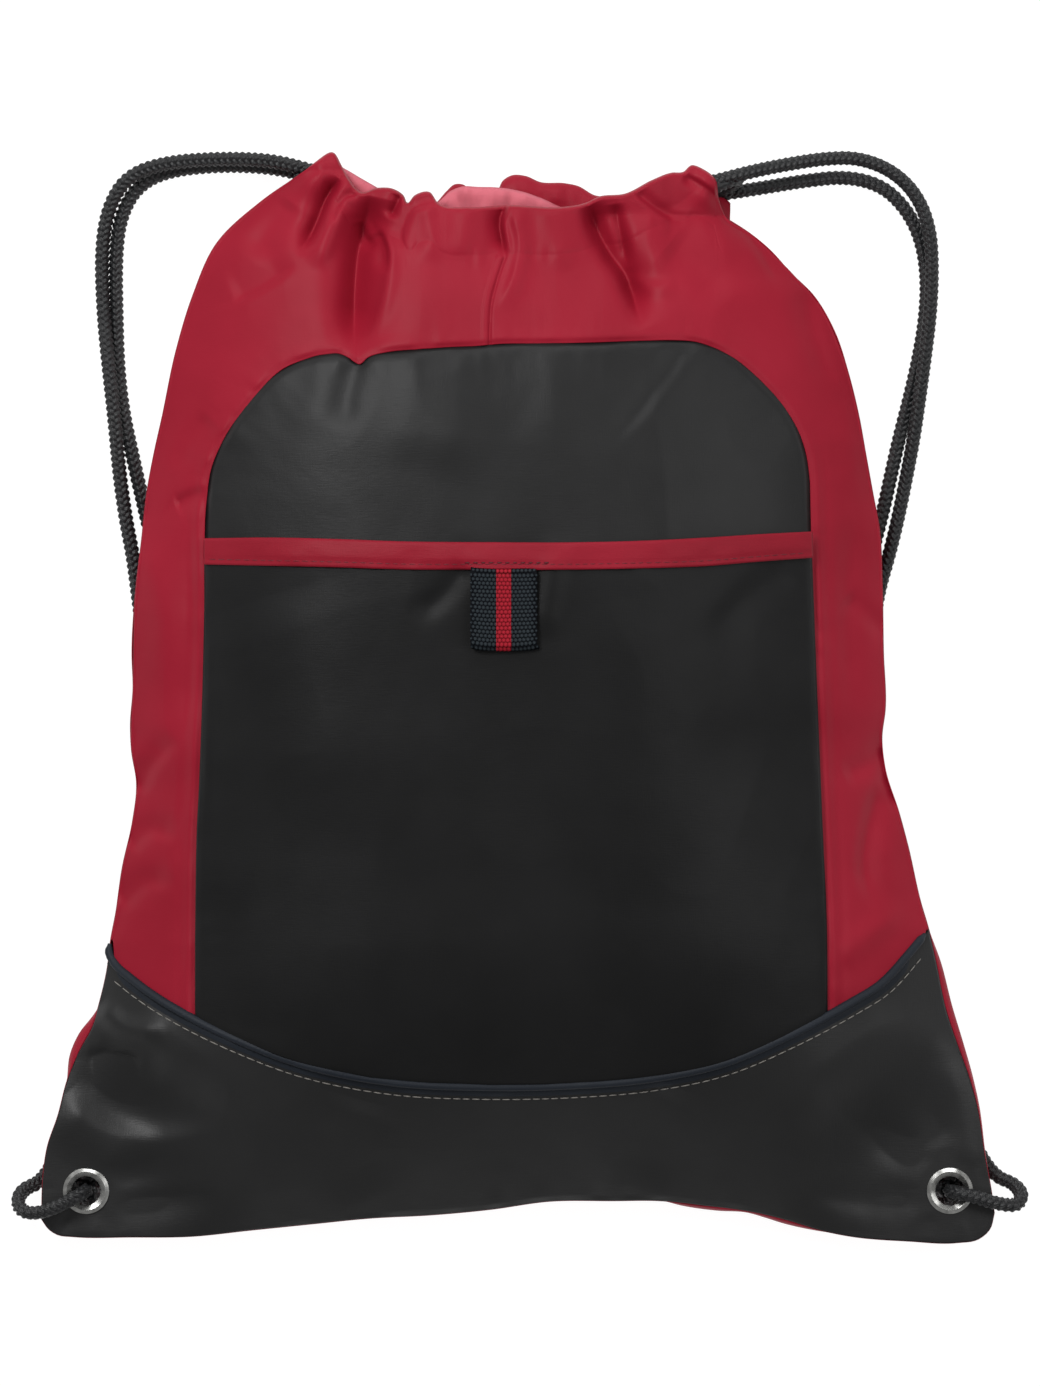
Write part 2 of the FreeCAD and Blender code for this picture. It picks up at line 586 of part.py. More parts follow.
TAB_SEAM_Y = size["pocket_mouth_y"] + size["binding_tape"] - size["binding_height"]
TAB_AXIS_Z = (front_z_on_centre(TAB_SEAM_Y) + size["tab_clearance"]
              + size["webbing"] + size["tab_fold_gap"] / 2)
tab = keep(pull_tab(), "pull_tab")
tab.Placement = FreeCAD.Placement(Vector(size["tab_offset"], TAB_SEAM_Y, TAB_AXIS_Z), FreeCAD.Rotation())


# ---------------------------------------------------------------- eyelets
def ring(name, corners, height_above):
    """A turned ring from its half section, which stands on the sketch's x axis."""
    body = document.addObject("PartDesign::Body", name + "_body")
    sketch = sketch_on(body, "XZ_Plane", name + "_section")
    polygon(sketch, corners)
    turn = body.newObject("PartDesign::Revolution", name + "_turn")
    turn.Profile = sketch
    turn.ReferenceAxis = (sketch, ["V_Axis"])
    turn.Angle = 360
    side = "-" if name.endswith("left") else ""
    return bind(body, {"Placement.Base.x": side + EYELET_X, "Placement.Base.y": EYELET_Y,
                       "Placement.Base.z": height_above})


HOLE = "sizes.eyelet_hole_radius"
BARREL = "sizes.eyelet_hole_radius + sizes.eyelet_metal"
FLANGE = "sizes.eyelet_flange_radius"
BELOW = "-2 * sizes.cloth - sizes.washer_height"
for name in ("left", "right"):
    keep(ring("eyelet_" + name, [
        (HOLE, BELOW), (BARREL, BELOW), (BARREL, "sizes.eyelet_play"), (FLANGE, "sizes.eyelet_play"),
        (FLANGE, "sizes.flange_edge * sizes.flange_height"),
        ("sizes.eyelet_flange_radius - sizes.flange_crown * (sizes.eyelet_flange_radius - sizes.eyelet_hole_radius)",
         "sizes.flange_height"),
        (HOLE, "sizes.flange_lip * sizes.flange_height")], "sizes.seam_z + sizes.cloth"), "eyelet_" + name)
    keep(ring("washer_" + name, [
        ("sizes.eyelet_hole_radius + sizes.eyelet_metal + sizes.eyelet_play", "-sizes.washer_height"),
        (FLANGE, "-sizes.washer_edge * sizes.washer_height"), (FLANGE, "-sizes.eyelet_play"),
        ("sizes.eyelet_hole_radius + sizes.eyelet_metal + sizes.eyelet_play", "-sizes.eyelet_play")],
        "sizes.seam_z - sizes.cloth"), "washer_" + name)


# ---------------------------------------------------------------- cords
def cord_path(points):
    """Straight runs joined by tangent arcs, each as large as its two runs allow; returns edges and radii."""
    edges = []
    radii = []
    start = points[0]
    for before, here, after in zip(points, points[1:], points[2:]):
        come, go = here - before, after - here
        shorter = min(come.Length, go.Length)
        turn = come.getAngle(go)
        back = ARC_SHARE * shorter
        radii.append(back / math.tan(turn / 2))
        come.normalize()
        go.normalize()
        enter, leave = here - come * back, here + go * back
        inward = (go - come).normalize()
        to_centre = radii[-1] / math.cos(turn / 2)
        middle = here + inward * (to_centre - radii[-1])
        edges.append(Part.LineSegment(start, enter).toShape())
        edges.append(Part.Arc(enter, middle, leave).toShape())
        start = leave
    edges.append(Part.LineSegment(start, points[-1]).toShape())
    return edges, radii


def cord(label, points, rounded_ends=()):
    """A round cord along a route; rounded_ends holds 0 and 1 where its first and last end are half balls."""
    points = [Vector(*point) for point in points]
    edges, radii = cord_path(points)
    radius = size["cord_diameter"] / 2
    wire = Part.Wire(edges)
    circle = Part.Wire([Part.Circle(points[0], points[1] - points[0], radius).toShape()])
    shape = wire.makePipeShell([circle], True, False)
    expected = math.pi * radius ** 2 * wire.Length
    for end in rounded_ends:
        place = points[-1] if end else points[0]
        shape = shape.fuse(Part.makeSphere(radius, place)).removeSplitter()
    if shape.ShapeType != "Solid" and len(shape.Solids) == 1:
        shape = shape.Solids[0]
    print("%-26s length %6.1f  volume %7.0f of %7.0f  radii %s" % (
        label, wire.Length, shape.Volume, expected, " ".join("%.0f" % r for r in radii)))
    return keep(feature(label + "_solid", shape), label)


def casing_point(side, t, lane):
    x, y, z = (sketch_value(expression) for expression in casing_middle(side, t))
    return (x, y + lane, z)


def casing_cord(label, sign, lane):
    """Cord inside both casings: in by the front one, round at the far end, and back by the back one."""
    stations = [2 * k / (CASING_STATIONS - 1) - 1 for k in range(CASING_STATIONS)]
    out = [casing_point("front", sign * t, lane) for t in reversed(stations)]
    home = [casing_point("back", sign * t, lane) for t in stations]
    stub = size["cord_stub"]
    start = (out[0][0] + sign * stub, out[0][1], out[0][2])
    finish = (home[-1][0] + sign * stub, home[-1][1], home[-1][2])
    far_x = out[-1][0] - sign * size["u_turn_reach"]
    far_y = out[-1][1] + size["u_turn_rise"]
    turn = [(far_x, far_y, out[-1][2]), (far_x, far_y, home[0][2])]
    return cord(label, [start] + out[1:] + turn + home[:-1] + [finish])


def swing_start(sign, side, lane):
    """Middle of the rounded end where a strap cord begins, just outside its casing."""
    x, y, z = casing_point(side, sign, lane)
    return (x + sign * (size["cord_stub"] + size["swing_gap"] + size["cord_diameter"] / 2), y, z)


def fixed_end(swing_end, next_point):
    """End of the cord under the bag: clear of the rounded end of the part that swings."""
    a, b = Vector(*swing_end), Vector(*next_point)
    step = (b - a).normalize() * (size["swing_gap"] + size["cord_diameter"] / 2)
    return tuple(a + step)


for name, sign in (("left", -1), ("right", 1)):
    lane = -sign * size["casing_lane"]
    casing_cord("casing_cord_" + name, sign, lane)
    for side in ("front", "back"):
        loop = [swing_start(sign, side, lane)] + LOOP_ROUTES["strap_cord_%s_%s" % (name, side)]
        tail = TAIL_ROUTES["tail_cord_%s_%s" % (name, side)]
        cord("strap_cord_%s_%s" % (name, side), loop, (0, 1))
        cord("tail_cord_%s_%s" % (name, side), [fixed_end(loop[-1], tail[0])] + tail)
    knot = primitive("Ellipsoid", "knot_%s_solid" % name, {
        "Radius1": "sizes.knot_height / 2", "Radius2": "sizes.knot_width / 2", "Radius3": "sizes.knot_length / 2"})
    knot.Angle1, knot.Angle2, knot.Angle3 = -90, 90, 360
    knot.Placement = FreeCAD.Placement(Vector(-sign * KNOT_PLACE[0], KNOT_PLACE[1], KNOT_PLACE[2]),
                                       FreeCAD.Rotation())
    keep(knot, "knot_" + name)

document.recompute()
faults = [item.Label for item in document.Objects if "Invalid" in item.State or "Error" in item.State]
for part in parts:
    if part.Shape.isNull() or not part.Shape.isValid() or not part.Shape.Solids:
        faults.append(part.Label)
if faults:
    raise RuntimeError("these did not build: " + ", ".join(faults))
os.makedirs("parts", exist_ok=True)
for part in parts:
    part.Shape.exportStep(os.path.join("parts", part.Label + ".step"))
    box = part.Shape.BoundBox
    print("%-26s solids %d  volume %9.1f  x %.1f %.1f  y %.1f %.1f  z %.2f %.2f" % (
        part.Label, len(part.Shape.Solids), part.Shape.Volume, box.XMin, box.XMax, box.YMin, box.YMax,
        box.ZMin, box.ZMax))
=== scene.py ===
"""Drawstring backpack: satin panels, piping, webbing tab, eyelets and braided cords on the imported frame.

Shapes are worked out in millimetres in the frame's own axes (+X right, +Y to the gathered mouth, +Z up from
the table that the bag lies on) and become metres when a mesh is made.
"""
import json
import math

import bpy
import numpy as np
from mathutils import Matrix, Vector


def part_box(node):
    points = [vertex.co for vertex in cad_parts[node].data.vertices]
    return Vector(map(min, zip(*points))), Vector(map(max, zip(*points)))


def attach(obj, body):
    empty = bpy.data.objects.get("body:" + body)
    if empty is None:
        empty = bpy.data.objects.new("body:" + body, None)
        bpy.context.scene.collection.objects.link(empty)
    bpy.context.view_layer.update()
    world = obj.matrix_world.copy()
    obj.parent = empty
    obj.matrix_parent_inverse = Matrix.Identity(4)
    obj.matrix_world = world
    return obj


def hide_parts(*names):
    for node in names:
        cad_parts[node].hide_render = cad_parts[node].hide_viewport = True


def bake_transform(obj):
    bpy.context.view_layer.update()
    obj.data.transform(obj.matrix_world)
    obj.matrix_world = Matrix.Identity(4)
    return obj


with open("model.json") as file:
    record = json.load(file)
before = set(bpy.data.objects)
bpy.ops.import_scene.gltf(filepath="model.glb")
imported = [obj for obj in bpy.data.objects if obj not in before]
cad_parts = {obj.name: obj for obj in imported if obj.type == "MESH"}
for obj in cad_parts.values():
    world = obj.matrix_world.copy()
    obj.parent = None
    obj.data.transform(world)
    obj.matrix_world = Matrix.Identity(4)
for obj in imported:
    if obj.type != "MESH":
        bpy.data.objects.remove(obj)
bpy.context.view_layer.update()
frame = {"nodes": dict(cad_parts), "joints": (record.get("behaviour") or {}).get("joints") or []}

MM = 0.001


def box_mm(node):
    """Lowest and highest corner of a CAD node, in millimetres."""
    low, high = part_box(node)
    return np.array(low) / MM, np.array(high) / MM


def centre_mm(node):
    """Middle of a CAD node's box, in millimetres."""
    low, high = box_mm(node)
    return (low + high) / 2


# ---------------------------------------------------------------- driving sizes, mm
LEFT_EYELET, RIGHT_EYELET = centre_mm("eyelet_left"), centre_mm("eyelet_right")
TAB_LOW, TAB_HIGH = box_mm("pull_tab")
TAB_MIDDLE = (TAB_LOW[0] + TAB_HIGH[0]) / 2
SEAM_Z = 14                  # height of the side seam above the table
CLOTH = 1.5                  # stand-in thickness of a panel in the CAD model
CLOTH_SHOWN = 0.45           # thickness that the cloth really shows
BELLY = 46                   # rise of the filled front above the seam
COLLAR = 30                  # the same at the top of the inset's arch
MOUTH = 21                   # the same at the gathered mouth
RISE = [(-215, BELLY), (60, BELLY), (110, BELLY - 4), (150, COLLAR + 4), (180, MOUTH + 5), (216, MOUTH)]
HEM_SLOPE = 110              # length over which the front comes down to the hem
CORNER_FLAT, CORNER_BLEND = 20, 72
POCKET_SLACK = 9
POCKET_HALF_WIDTH = 119
POCKET_MOUTH_Y, POCKET_FOOT_Y = 62, -150
BACK_MARGIN = 75
CASING_HEIGHT = 18
CORD = 5.2
PLAIT_ROOM = 0.06            # how much the strands' plait is kept inside the cord's diameter, on each side
BURIED_ROOM = 0.1            # the same for the cord in the casings and the knots
STRAP_HINGE = 22             # how far outside a strap's hinge line a second place is found
EYELET_CUT = 7.2             # radius of the cloth's hole under an eyelet
EDGE_DROP = 2.2              # how far the back drops at its outermost line
SIDE_ROLL = 0.9              # half the depth of the turned edge down the sides
CREASED = 1.4                # power of a deep fold's profile: 2 is round, 1 is a sharp crease
DEEP = 4                     # depth from which a fold is creased
LIP = 0.12                   # height of the lip beside a steep fold, as a share of its depth
CASING_DEPTH = 9.2           # from the front's lowest folds down to the casing's inner ply
MOUTH_CRISP = 1.7            # how far the mouth's folded edge stands out round its turn
MOUTH_LEFT, MOUTH_RIGHT = (-82, -76), (76.5, 80.5)   # x over which the gathered edge begins, and ends
MOUTH_FOOT_Y = 186           # the gathered edge is above this
TAPE = 0.9                   # thickness of the folded binding on top of the pocket
ENDS = [(-80, 206, 9, 10), (77, 201, 8.6, 9)]   # x, y, lift and reach of the casing's two mouths
VIEW_HEIGHT = 540.54         # height of the picture, measured at the level of the bag's middle
VIEW_CENTRE = (0.8, 2.3)     # place on the table under the camera
VIEW_LEVEL = 30              # level of the bag's middle above the table
LENS, SENSOR = 300, 36

# ---------------------------------------------------------------- outlines, mm (x, y)
# Seam between the front and the back, from the lower end of the piping up to the casing, on each side.
LEFT_SIDE = [
    (-159.4, -94.2), (-157.4, -84), (-154.8, -66), (-150.8, -48), (-149.2, -33), (-151.2, -20),
    (-151.6, -10), (-150.6, 4), (-151, 18), (-149.4, 44), (-147.4, 61), (-145, 82), (-142.4, 96),
    (-139.2, 110.4), (-133.8, 136.1), (-127.3, 157.6), (-118.2, 177.8), (-101, 194.2), (-83.1, 206.5),
]
RIGHT_SIDE = [
    (160.7, -90.1), (157.6, -79.6), (152.6, -57.6), (149.2, -44.9), (143.6, -27), (142.4, -15),
    (143.7, -4), (143, 18), (142.5, 45.6), (141.4, 66.7), (139, 79.6), (136, 96.2), (133.6, 109.6),
    (129.4, 127), (123.8, 143.9), (115.8, 157.6), (106.5, 166.9), (98.7, 175.5), (91.3, 181.7),
    (80.3, 188.8),
]
# Base panel below the piping: its two side edges and its hem. The back panel shows beyond it in places.
BASE_LEFT = [
    (-159.4, -94.2), (-160.7, -105), (-164, -119.6), (-165.8, -126.6), (-172.4, -139.4), (-176.6, -150),
    (-180, -163), (-184.2, -175.4), (-186, -189), (-186.4, -203.6),
]
BASE_RIGHT = [
    (160.7, -90.1), (163.6, -103), (167.6, -122), (172.2, -136), (176.2, -147), (179.6, -159),
    (182.7, -179), (185.3, -193), (186.4, -201.2),
]
HEM = [
    (-186.4, -203.6), (-183.5, -207.6), (-179.8, -209.8), (-174.7, -210.4), (-151.3, -210.6),
    (-127.9, -210.4), (-104.5, -207.9), (-81.1, -205.5), (-57.7, -203.2), (-34.3, -202), (-10.9, -199.8),
    (12.5, -196.6), (35.9, -196.4), (59.3, -196.6), (71, -198), (94.4, -201.3), (106.1, -204.2),
    (117.8, -207.7), (129.5, -210.2), (152.9, -212.2), (172, -212.8), (180.2, -211.4), (184.6, -207.6),
    (186.4, -201.2),
]
BACK_LEFT = [
    (-158.8, -94.6), (-160.2, -106), (-163.8, -120.4), (-166.2, -124), (-171.8, -131.2), (-175.2, -139),
    (-176.6, -150.6), (-179.7, -163), (-183.8, -175.4), (-185.5, -189), (-185.9, -203.4),
]
BACK_RIGHT = [
    (160.7, -90.1), (165.4, -103), (169.8, -120), (174.3, -135), (177.7, -147), (180.4, -159), (183, -179),
    (185.2, -193), (185.9, -201.2),
]
BACK_HEM = [
    (-185.9, -203.4), (-183.1, -207.2), (-179.6, -209.3), (-174.7, -209.9), (-151.3, -210.1),
    (-104.5, -207.4), (-57.7, -202.7), (-10.9, -199.3), (12.5, -196.1), (40, -195.9), (56, -196.2),
    (64, -198.2), (78, -200.2), (90, -201), (97, -203), (104, -205.2), (113, -207.3), (129.5, -209.7),
    (152.9, -211.7), (172, -212.3), (180, -210.9), (184.1, -207.2), (185.9, -201.2),
]
# Curved seam with the piping.
PIPING = [
    (-159.4, -94.2), (-159.8, -99.2), (-156.8, -104.4), (-151.6, -108.8), (-139.8, -117), (-127.9, -123.6),
    (-108, -132.8), (-85, -141.4), (-50, -148.6), (-14, -150.6), (22, -150), (52, -147.4), (78.8, -141.8),
    (106, -130.4), (129.5, -118.2), (141.2, -111.2), (152.9, -99.1), (160.7, -90.1),
]
# Arched seam between the red frame and the inset, with the place on the outer edge that each point faces.
ARCH = [
    ((-125.6, -124.6), (-159.4, -94.2)), ((-125.6, -94), (-157.4, -84)), ((-125.4, -70), (-154.8, -66)),
    ((-125, -50), (-150.8, -48)), ((-124.2, -34), (-149.2, -33)), ((-123.6, -19.9), (-151.2, -20)),
    ((-122.8, 4), (-150.6, 4)), ((-122.1, 42.5), (-149.4, 44)), ((-122.2, 62), (-147, 64)),
    ((-121.6, 76), (-145, 82)), ((-119.8, 89), (-142.4, 96)), ((-115.6, 99.5), (-139.2, 110.4)),
    ((-104.5, 115.4), (-133.8, 136.1)), ((-92.8, 127.5), (-127.3, 157.6)),
    ((-81.1, 132.6), (-118.2, 177.8)), ((-74, 134), (-101, 194.2)), ((-69, 134), (-83.1, 206.5)),
    ((-65.6, 132.4), (-72.2, 213.6)), ((-61.6, 130), (-68.8, 208.3)), ((-58.6, 132.4), (-65.8, 202.8)),
    ((-55.6, 133.7), (-61.6, 198)), ((-49, 134.9), (-54.6, 199.5)), ((-45, 135.3), (-48.7, 199)),
    ((-42, 135.5), (-44.6, 196.4)), ((-40, 135.6), (-43.1, 193.4)), ((-36.8, 135.9), (-40.4, 196.3)),
    ((-31.5, 136.2), (-34.4, 197.6)), ((-27.5, 136.5), (-31.2, 193.4)), ((-16, 137), (-18.7, 191.7)),
    ((-7, 137.8), (-5.1, 192.5)), ((8, 138), (16.4, 191.7)), ((22, 138.2), (26.1, 193.4)),
    ((30, 138.4), (31.8, 196)), ((40, 138.8), (41.8, 197.2)), ((51, 139.2), (52.3, 202.6)),
    ((60, 139.4), (60, 205.6)), ((66, 139.2), (64.6, 206)), ((70, 138.6), (67.8, 208.6)),
    ((74, 137.4), (72.6, 207)), ((77.6, 136), (77.2, 203.2)), ((80.8, 134.4), (78.6, 195.4)),
    ((84.6, 132.2), (81.2, 188.8)), ((90, 128), (91.3, 181.7)), ((95.6, 122.8), (100.4, 173.6)),
    ((101.6, 116.4), (109.3, 164.4)), ((107, 108.6), (117.8, 154.6)), ((111.6, 98.4), (127.6, 133)),
    ((113.7, 87), (133.8, 109)), ((114.1, 76), (138, 85)), ((114.3, 64), (141.4, 66.7)),
    ((115, 42.5), (142.5, 45.6)), ((116, 16), (143, 18)), ((116.8, -5), (143.7, -4)),
    ((117.3, -16), (142.4, -15)), ((117.8, -29), (143.8, -27.6)), ((118.4, -46), (149.2, -44.9)),
    ((119, -60), (152.6, -57.6)), ((120, -84), (157.6, -79.6)), ((120.4, -123.4), (160.7, -90.1)),
]
POCKET_TOP = [
    (-122.2, 61.7), (-92.8, 61.7), (-69.4, 61), (-46, 60.1), (-10.9, 59.7), (24.2, 59.7), (47.6, 60.3),
    (71, 61.5), (94.4, 63.1), (114.6, 64.3),
]
BINDING_FOOT = [
    (-122.2, 52.3), (-92.8, 51.5), (-69.4, 50.9), (-46, 50.1), (-10.9, 49.9), (24.2, 50), (47.6, 50.5),
    (71, 51.3), (94.4, 53.3), (114.8, 54.9),
]
LINING_TOP = [
    (-76, 207), (-70.4, 209), (-67.5, 207.4), (-61.6, 203.8), (-54.8, 199.9), (-46, 195.3), (-38, 192.8),
    (-31.9, 193.6), (-29.2, 196), (-26.5, 198.6), (-22.6, 200.1), (-14.8, 200.1), (-7, 199.8),
    (0.8, 198.6), (8.6, 196.1), (17.8, 192.2), (27, 190.4), (40, 189),
]
BACK_CASING_TOP = [
    (-80, 205), (-71.4, 203), (-58, 194), (-46, 190.6), (-32, 194), (-27.6, 198.8), (-24.6, 201.3),
    (-21.4, 201.1), (-18.6, 198.2), (-12.6, 197.4), (-7.2, 199.9), (-5.8, 202.6), (-2.3, 204.8),
    (2.7, 204.6), (8.6, 202.2), (18.3, 201.7), (23.2, 200.7), (30, 197), (39.8, 196.6), (50, 196.2),
    (60, 197.6), (72, 199.6), (79, 197.6), (83, 194),
]

# ---------------------------------------------------------------- folds of the front, mm
# (route, depth, width on its left, width on its right); a negative depth is a ridge.
CROWN_FOLDS = [
    ([(-69.6, 203), (-74.8, 195.6), (-78.2, 186.8), (-83.1, 177.1), (-86.6, 173)], 8.5, 1.9, 4.4),
    ([(-62.4, 197.3), (-67.5, 196), (-70.9, 191.2), (-72.8, 184)], 2.4, 1.5, 2.6),
    ([(-57.2, 196), (-59.5, 185.8), (-62, 176.1), (-63.4, 163.4), (-63.8, 150.7), (-63.4, 140),
      (-61.8, 130.4)], 14.5, 9, 6),
    ([(-61.6, 186.4), (-59.5, 180), (-55.2, 175.4)], 2.6, 1.5, 2.2),
    ([(-54.6, 182.5), (-51.4, 174.2), (-51.7, 165)], 2.8, 1.1, 4),
    ([(-45.6, 196.6), (-48, 191.2), (-50.4, 187)], 4.4, 1.8, 2.4),
    ([(-31.6, 194), (-41.6, 190.6), (-44.9, 183.9), (-46.4, 173)], 1.6, 1.6, 4.2),
    ([(-4.9, 193), (-7, 185.4), (-6.2, 179), (-4.6, 171.6)], 5.8, 0.9, 3.2),
    ([(27.2, 193), (32.4, 180), (36.9, 172.2), (41.2, 166.4), (44.1, 159.5), (46.8, 149.8),
      (48.4, 143.6)], 12.5, 6.4, 3.2),
    ([(38, 193), (40, 181), (43, 168)], 4.4, 2.4, 3),
    ([(46, 197.6), (51.5, 193.1), (62, 186.4)], 2.2, 3, 1.1),
    ([(64.6, 204.4), (72.9, 199.5), (80.6, 193.4)], 1.8, 1.2, 2.6),
    ([(58, 176.4), (71, 166.3), (81.4, 153.6)], 2, 9, 7),
    ([(-110.6, 156), (-100.3, 161.3), (-86.4, 170.2)], 1.9, 8.5, 1.7),
    ([(-88.4, 194), (-96.2, 183.7), (-105, 171.4)], 2.4, 6.5, 6),
    ([(-68.4, 193), (-73.6, 179), (-79.8, 166.3)], -2.4, 3.6, 3.8),
    ([(-51, 182), (-49.9, 167.3), (-52, 154.6), (-58.4, 137.6)], -1.9, 3.4, 2.2),
    ([(-36, 195), (-34, 184), (-36, 168)], -1.6, 6, 4),
    ([(-22, 192), (-22.4, 182), (-24, 170)], -1.3, 5, 6),
    ([(-2.4, 191.4), (0.8, 179), (-0.6, 167), (-7.6, 150)], -1.9, 4.6, 2.2),
    ([(12, 192), (14, 180), (20, 166)], -1.5, 6, 6),
    ([(51.6, 190.8), (53, 176), (57.4, 163)], -1.6, 5.6, 4.6),
    ([(44, 163.6), (53.4, 159.9), (62.6, 162.4)], -1.2, 3, 4),
    ([(66, 196), (76, 184), (88, 172)], -1.4, 7, 7),
    ([(-134, 76), (-127.6, 78.6), (-120.6, 81)], 2, 2.6, 4),
    ([(-128.4, 66), (-126.9, 20.4), (-130, -9), (-137, -28)], 1.5, 3.4, 6),
    ([(-149, -37), (-143.4, -25.7), (-133, -15)], 2.2, 6, 3),
    ([(-152.6, -58.5), (-143.8, -51.2), (-131, -53.4)], 2, 6.5, 3.2),
    ([(-155.6, -81), (-145.9, -72.3), (-133, -70.2)], 1.8, 6.5, 3.2),
    ([(-147, 60), (-139, 30), (-143, 0)], -1.2, 6, 6),
    ([(141.6, -34), (137, -51.1), (135.6, -68.1), (140.6, -82)], 2.6, 5.5, 3.4),
    ([(143.6, -18), (145.4, -33), (150.6, -45)], 2, 1.6, 3.4),
    ([(124, -101), (134.9, -93.4), (151.6, -79.7)], -1.5, 5, 5),
    ([(131, 70), (128.6, 30), (131, -10)], 1.2, 5, 5),
    ([(127, 118), (130.6, 96), (132.6, 76)], -1, 4, 6),
    ([(76, 196), (92, 180), (104, 160)], 1.6, 5, 2.4),
    ([(112, 160), (116, 140), (124, 120)], 1.4, 4, 5),
    ([(128, 40), (140, 30), (147, 22)], 1.5, 4, 4),
    ([(127, -30), (138, -24), (146, -12)], 1.6, 5, 4),
    ([(-120, 110), (-128, 100), (-134, 88)], 1.4, 5, 4),
]
SEAM_CENTRE = [
    (-4.7, 173.4), (-8, 163.4), (-10.1, 155.6), (-11.2, 136.9),
]
CHARCOAL_FOLDS = [
    ([(66, 140), (60.3, 130.3), (54.4, 122), (45.6, 110.8), (32, 96)], 1.3, 3.2, 7),
    ([(-61, 133), (-64.2, 125.4), (-66.6, 116), (-67, 104)], 1.2, 4.6, 6),
    ([(-76, 136), (-76, 124), (-84, 100)], -0.6, 7, 8),
    ([(-44, 138), (-42.6, 118.4), (-46, 88)], -0.8, 9, 9),
    ([(12, 140), (13.5, 120.4), (8, 92)], -0.7, 9, 9),
    ([(-27, 134), (-24, 112), (-30, 84)], -1.6, 12, 14),
    ([(-96, 40), (-84, 0), (-88, -60)], -2.2, 24, 30),
    ([(-28, 44), (-18, 0), (-22, -60), (-14, -120)], 1.8, 20, 26),
    ([(46, 40), (58, -10), (52, -80)], -1.6, 22, 26),
    ([(15, 56), (13, 42), (9, 22)], -1.5, 5, 6),
    ([(-20, 52), (-28, 42), (-42, 30)], 1.7, 5, 4),
    ([(106, 52), (90, 40), (72, 20)], 1.4, 8, 6),
]
INSET_ONLY = 5               # number of the folds above that are in the inset and not in the pocket
BASE_FOLDS = [
    ([(-164, -120), (-156, -127), (-136, -130)], -2.6, 4.6, 5),
    ([(-178.6, -156), (-168, -167), (-146, -174), (-112, -168)], -3.7, 7, 12),
    ([(-166, -139), (-152, -143), (-134, -141)], 1.3, 7, 7),
    ([(-146, -112), (-138, -120), (-126, -126)], 1, 4, 4),
    ([(-169, -140), (-158, -140.6), (-146, -142)], 1.8, 3, 4),
    ([(-174, -141), (-162, -149), (-141, -156.5), (-100, -160)], 2.2, 14, 10),
    ([(-160, -188), (-140, -180), (-112, -176)], 1.2, 5, 8),
    ([(-158, -199), (-138, -196), (-108, -192)], 1.2, 4, 8),
    ([(160, -184), (142, -172), (126, -158), (116, -142)], 1.6, 6, 9),
    ([(158, -197), (136, -197), (108, -190)], 1.1, 5, 7),
    ([(165, -176), (160, -152), (161, -126)], 1.2, 7, 7),
    ([(176, -182), (172, -160), (170, -140)], -0.8, 5, 5),
    ([(60, -150), (52, -170), (48, -192)], 1.6, 12, 12),
    ([(-60, -156), (-66, -176), (-58, -196)], 1.6, 14, 14),
]

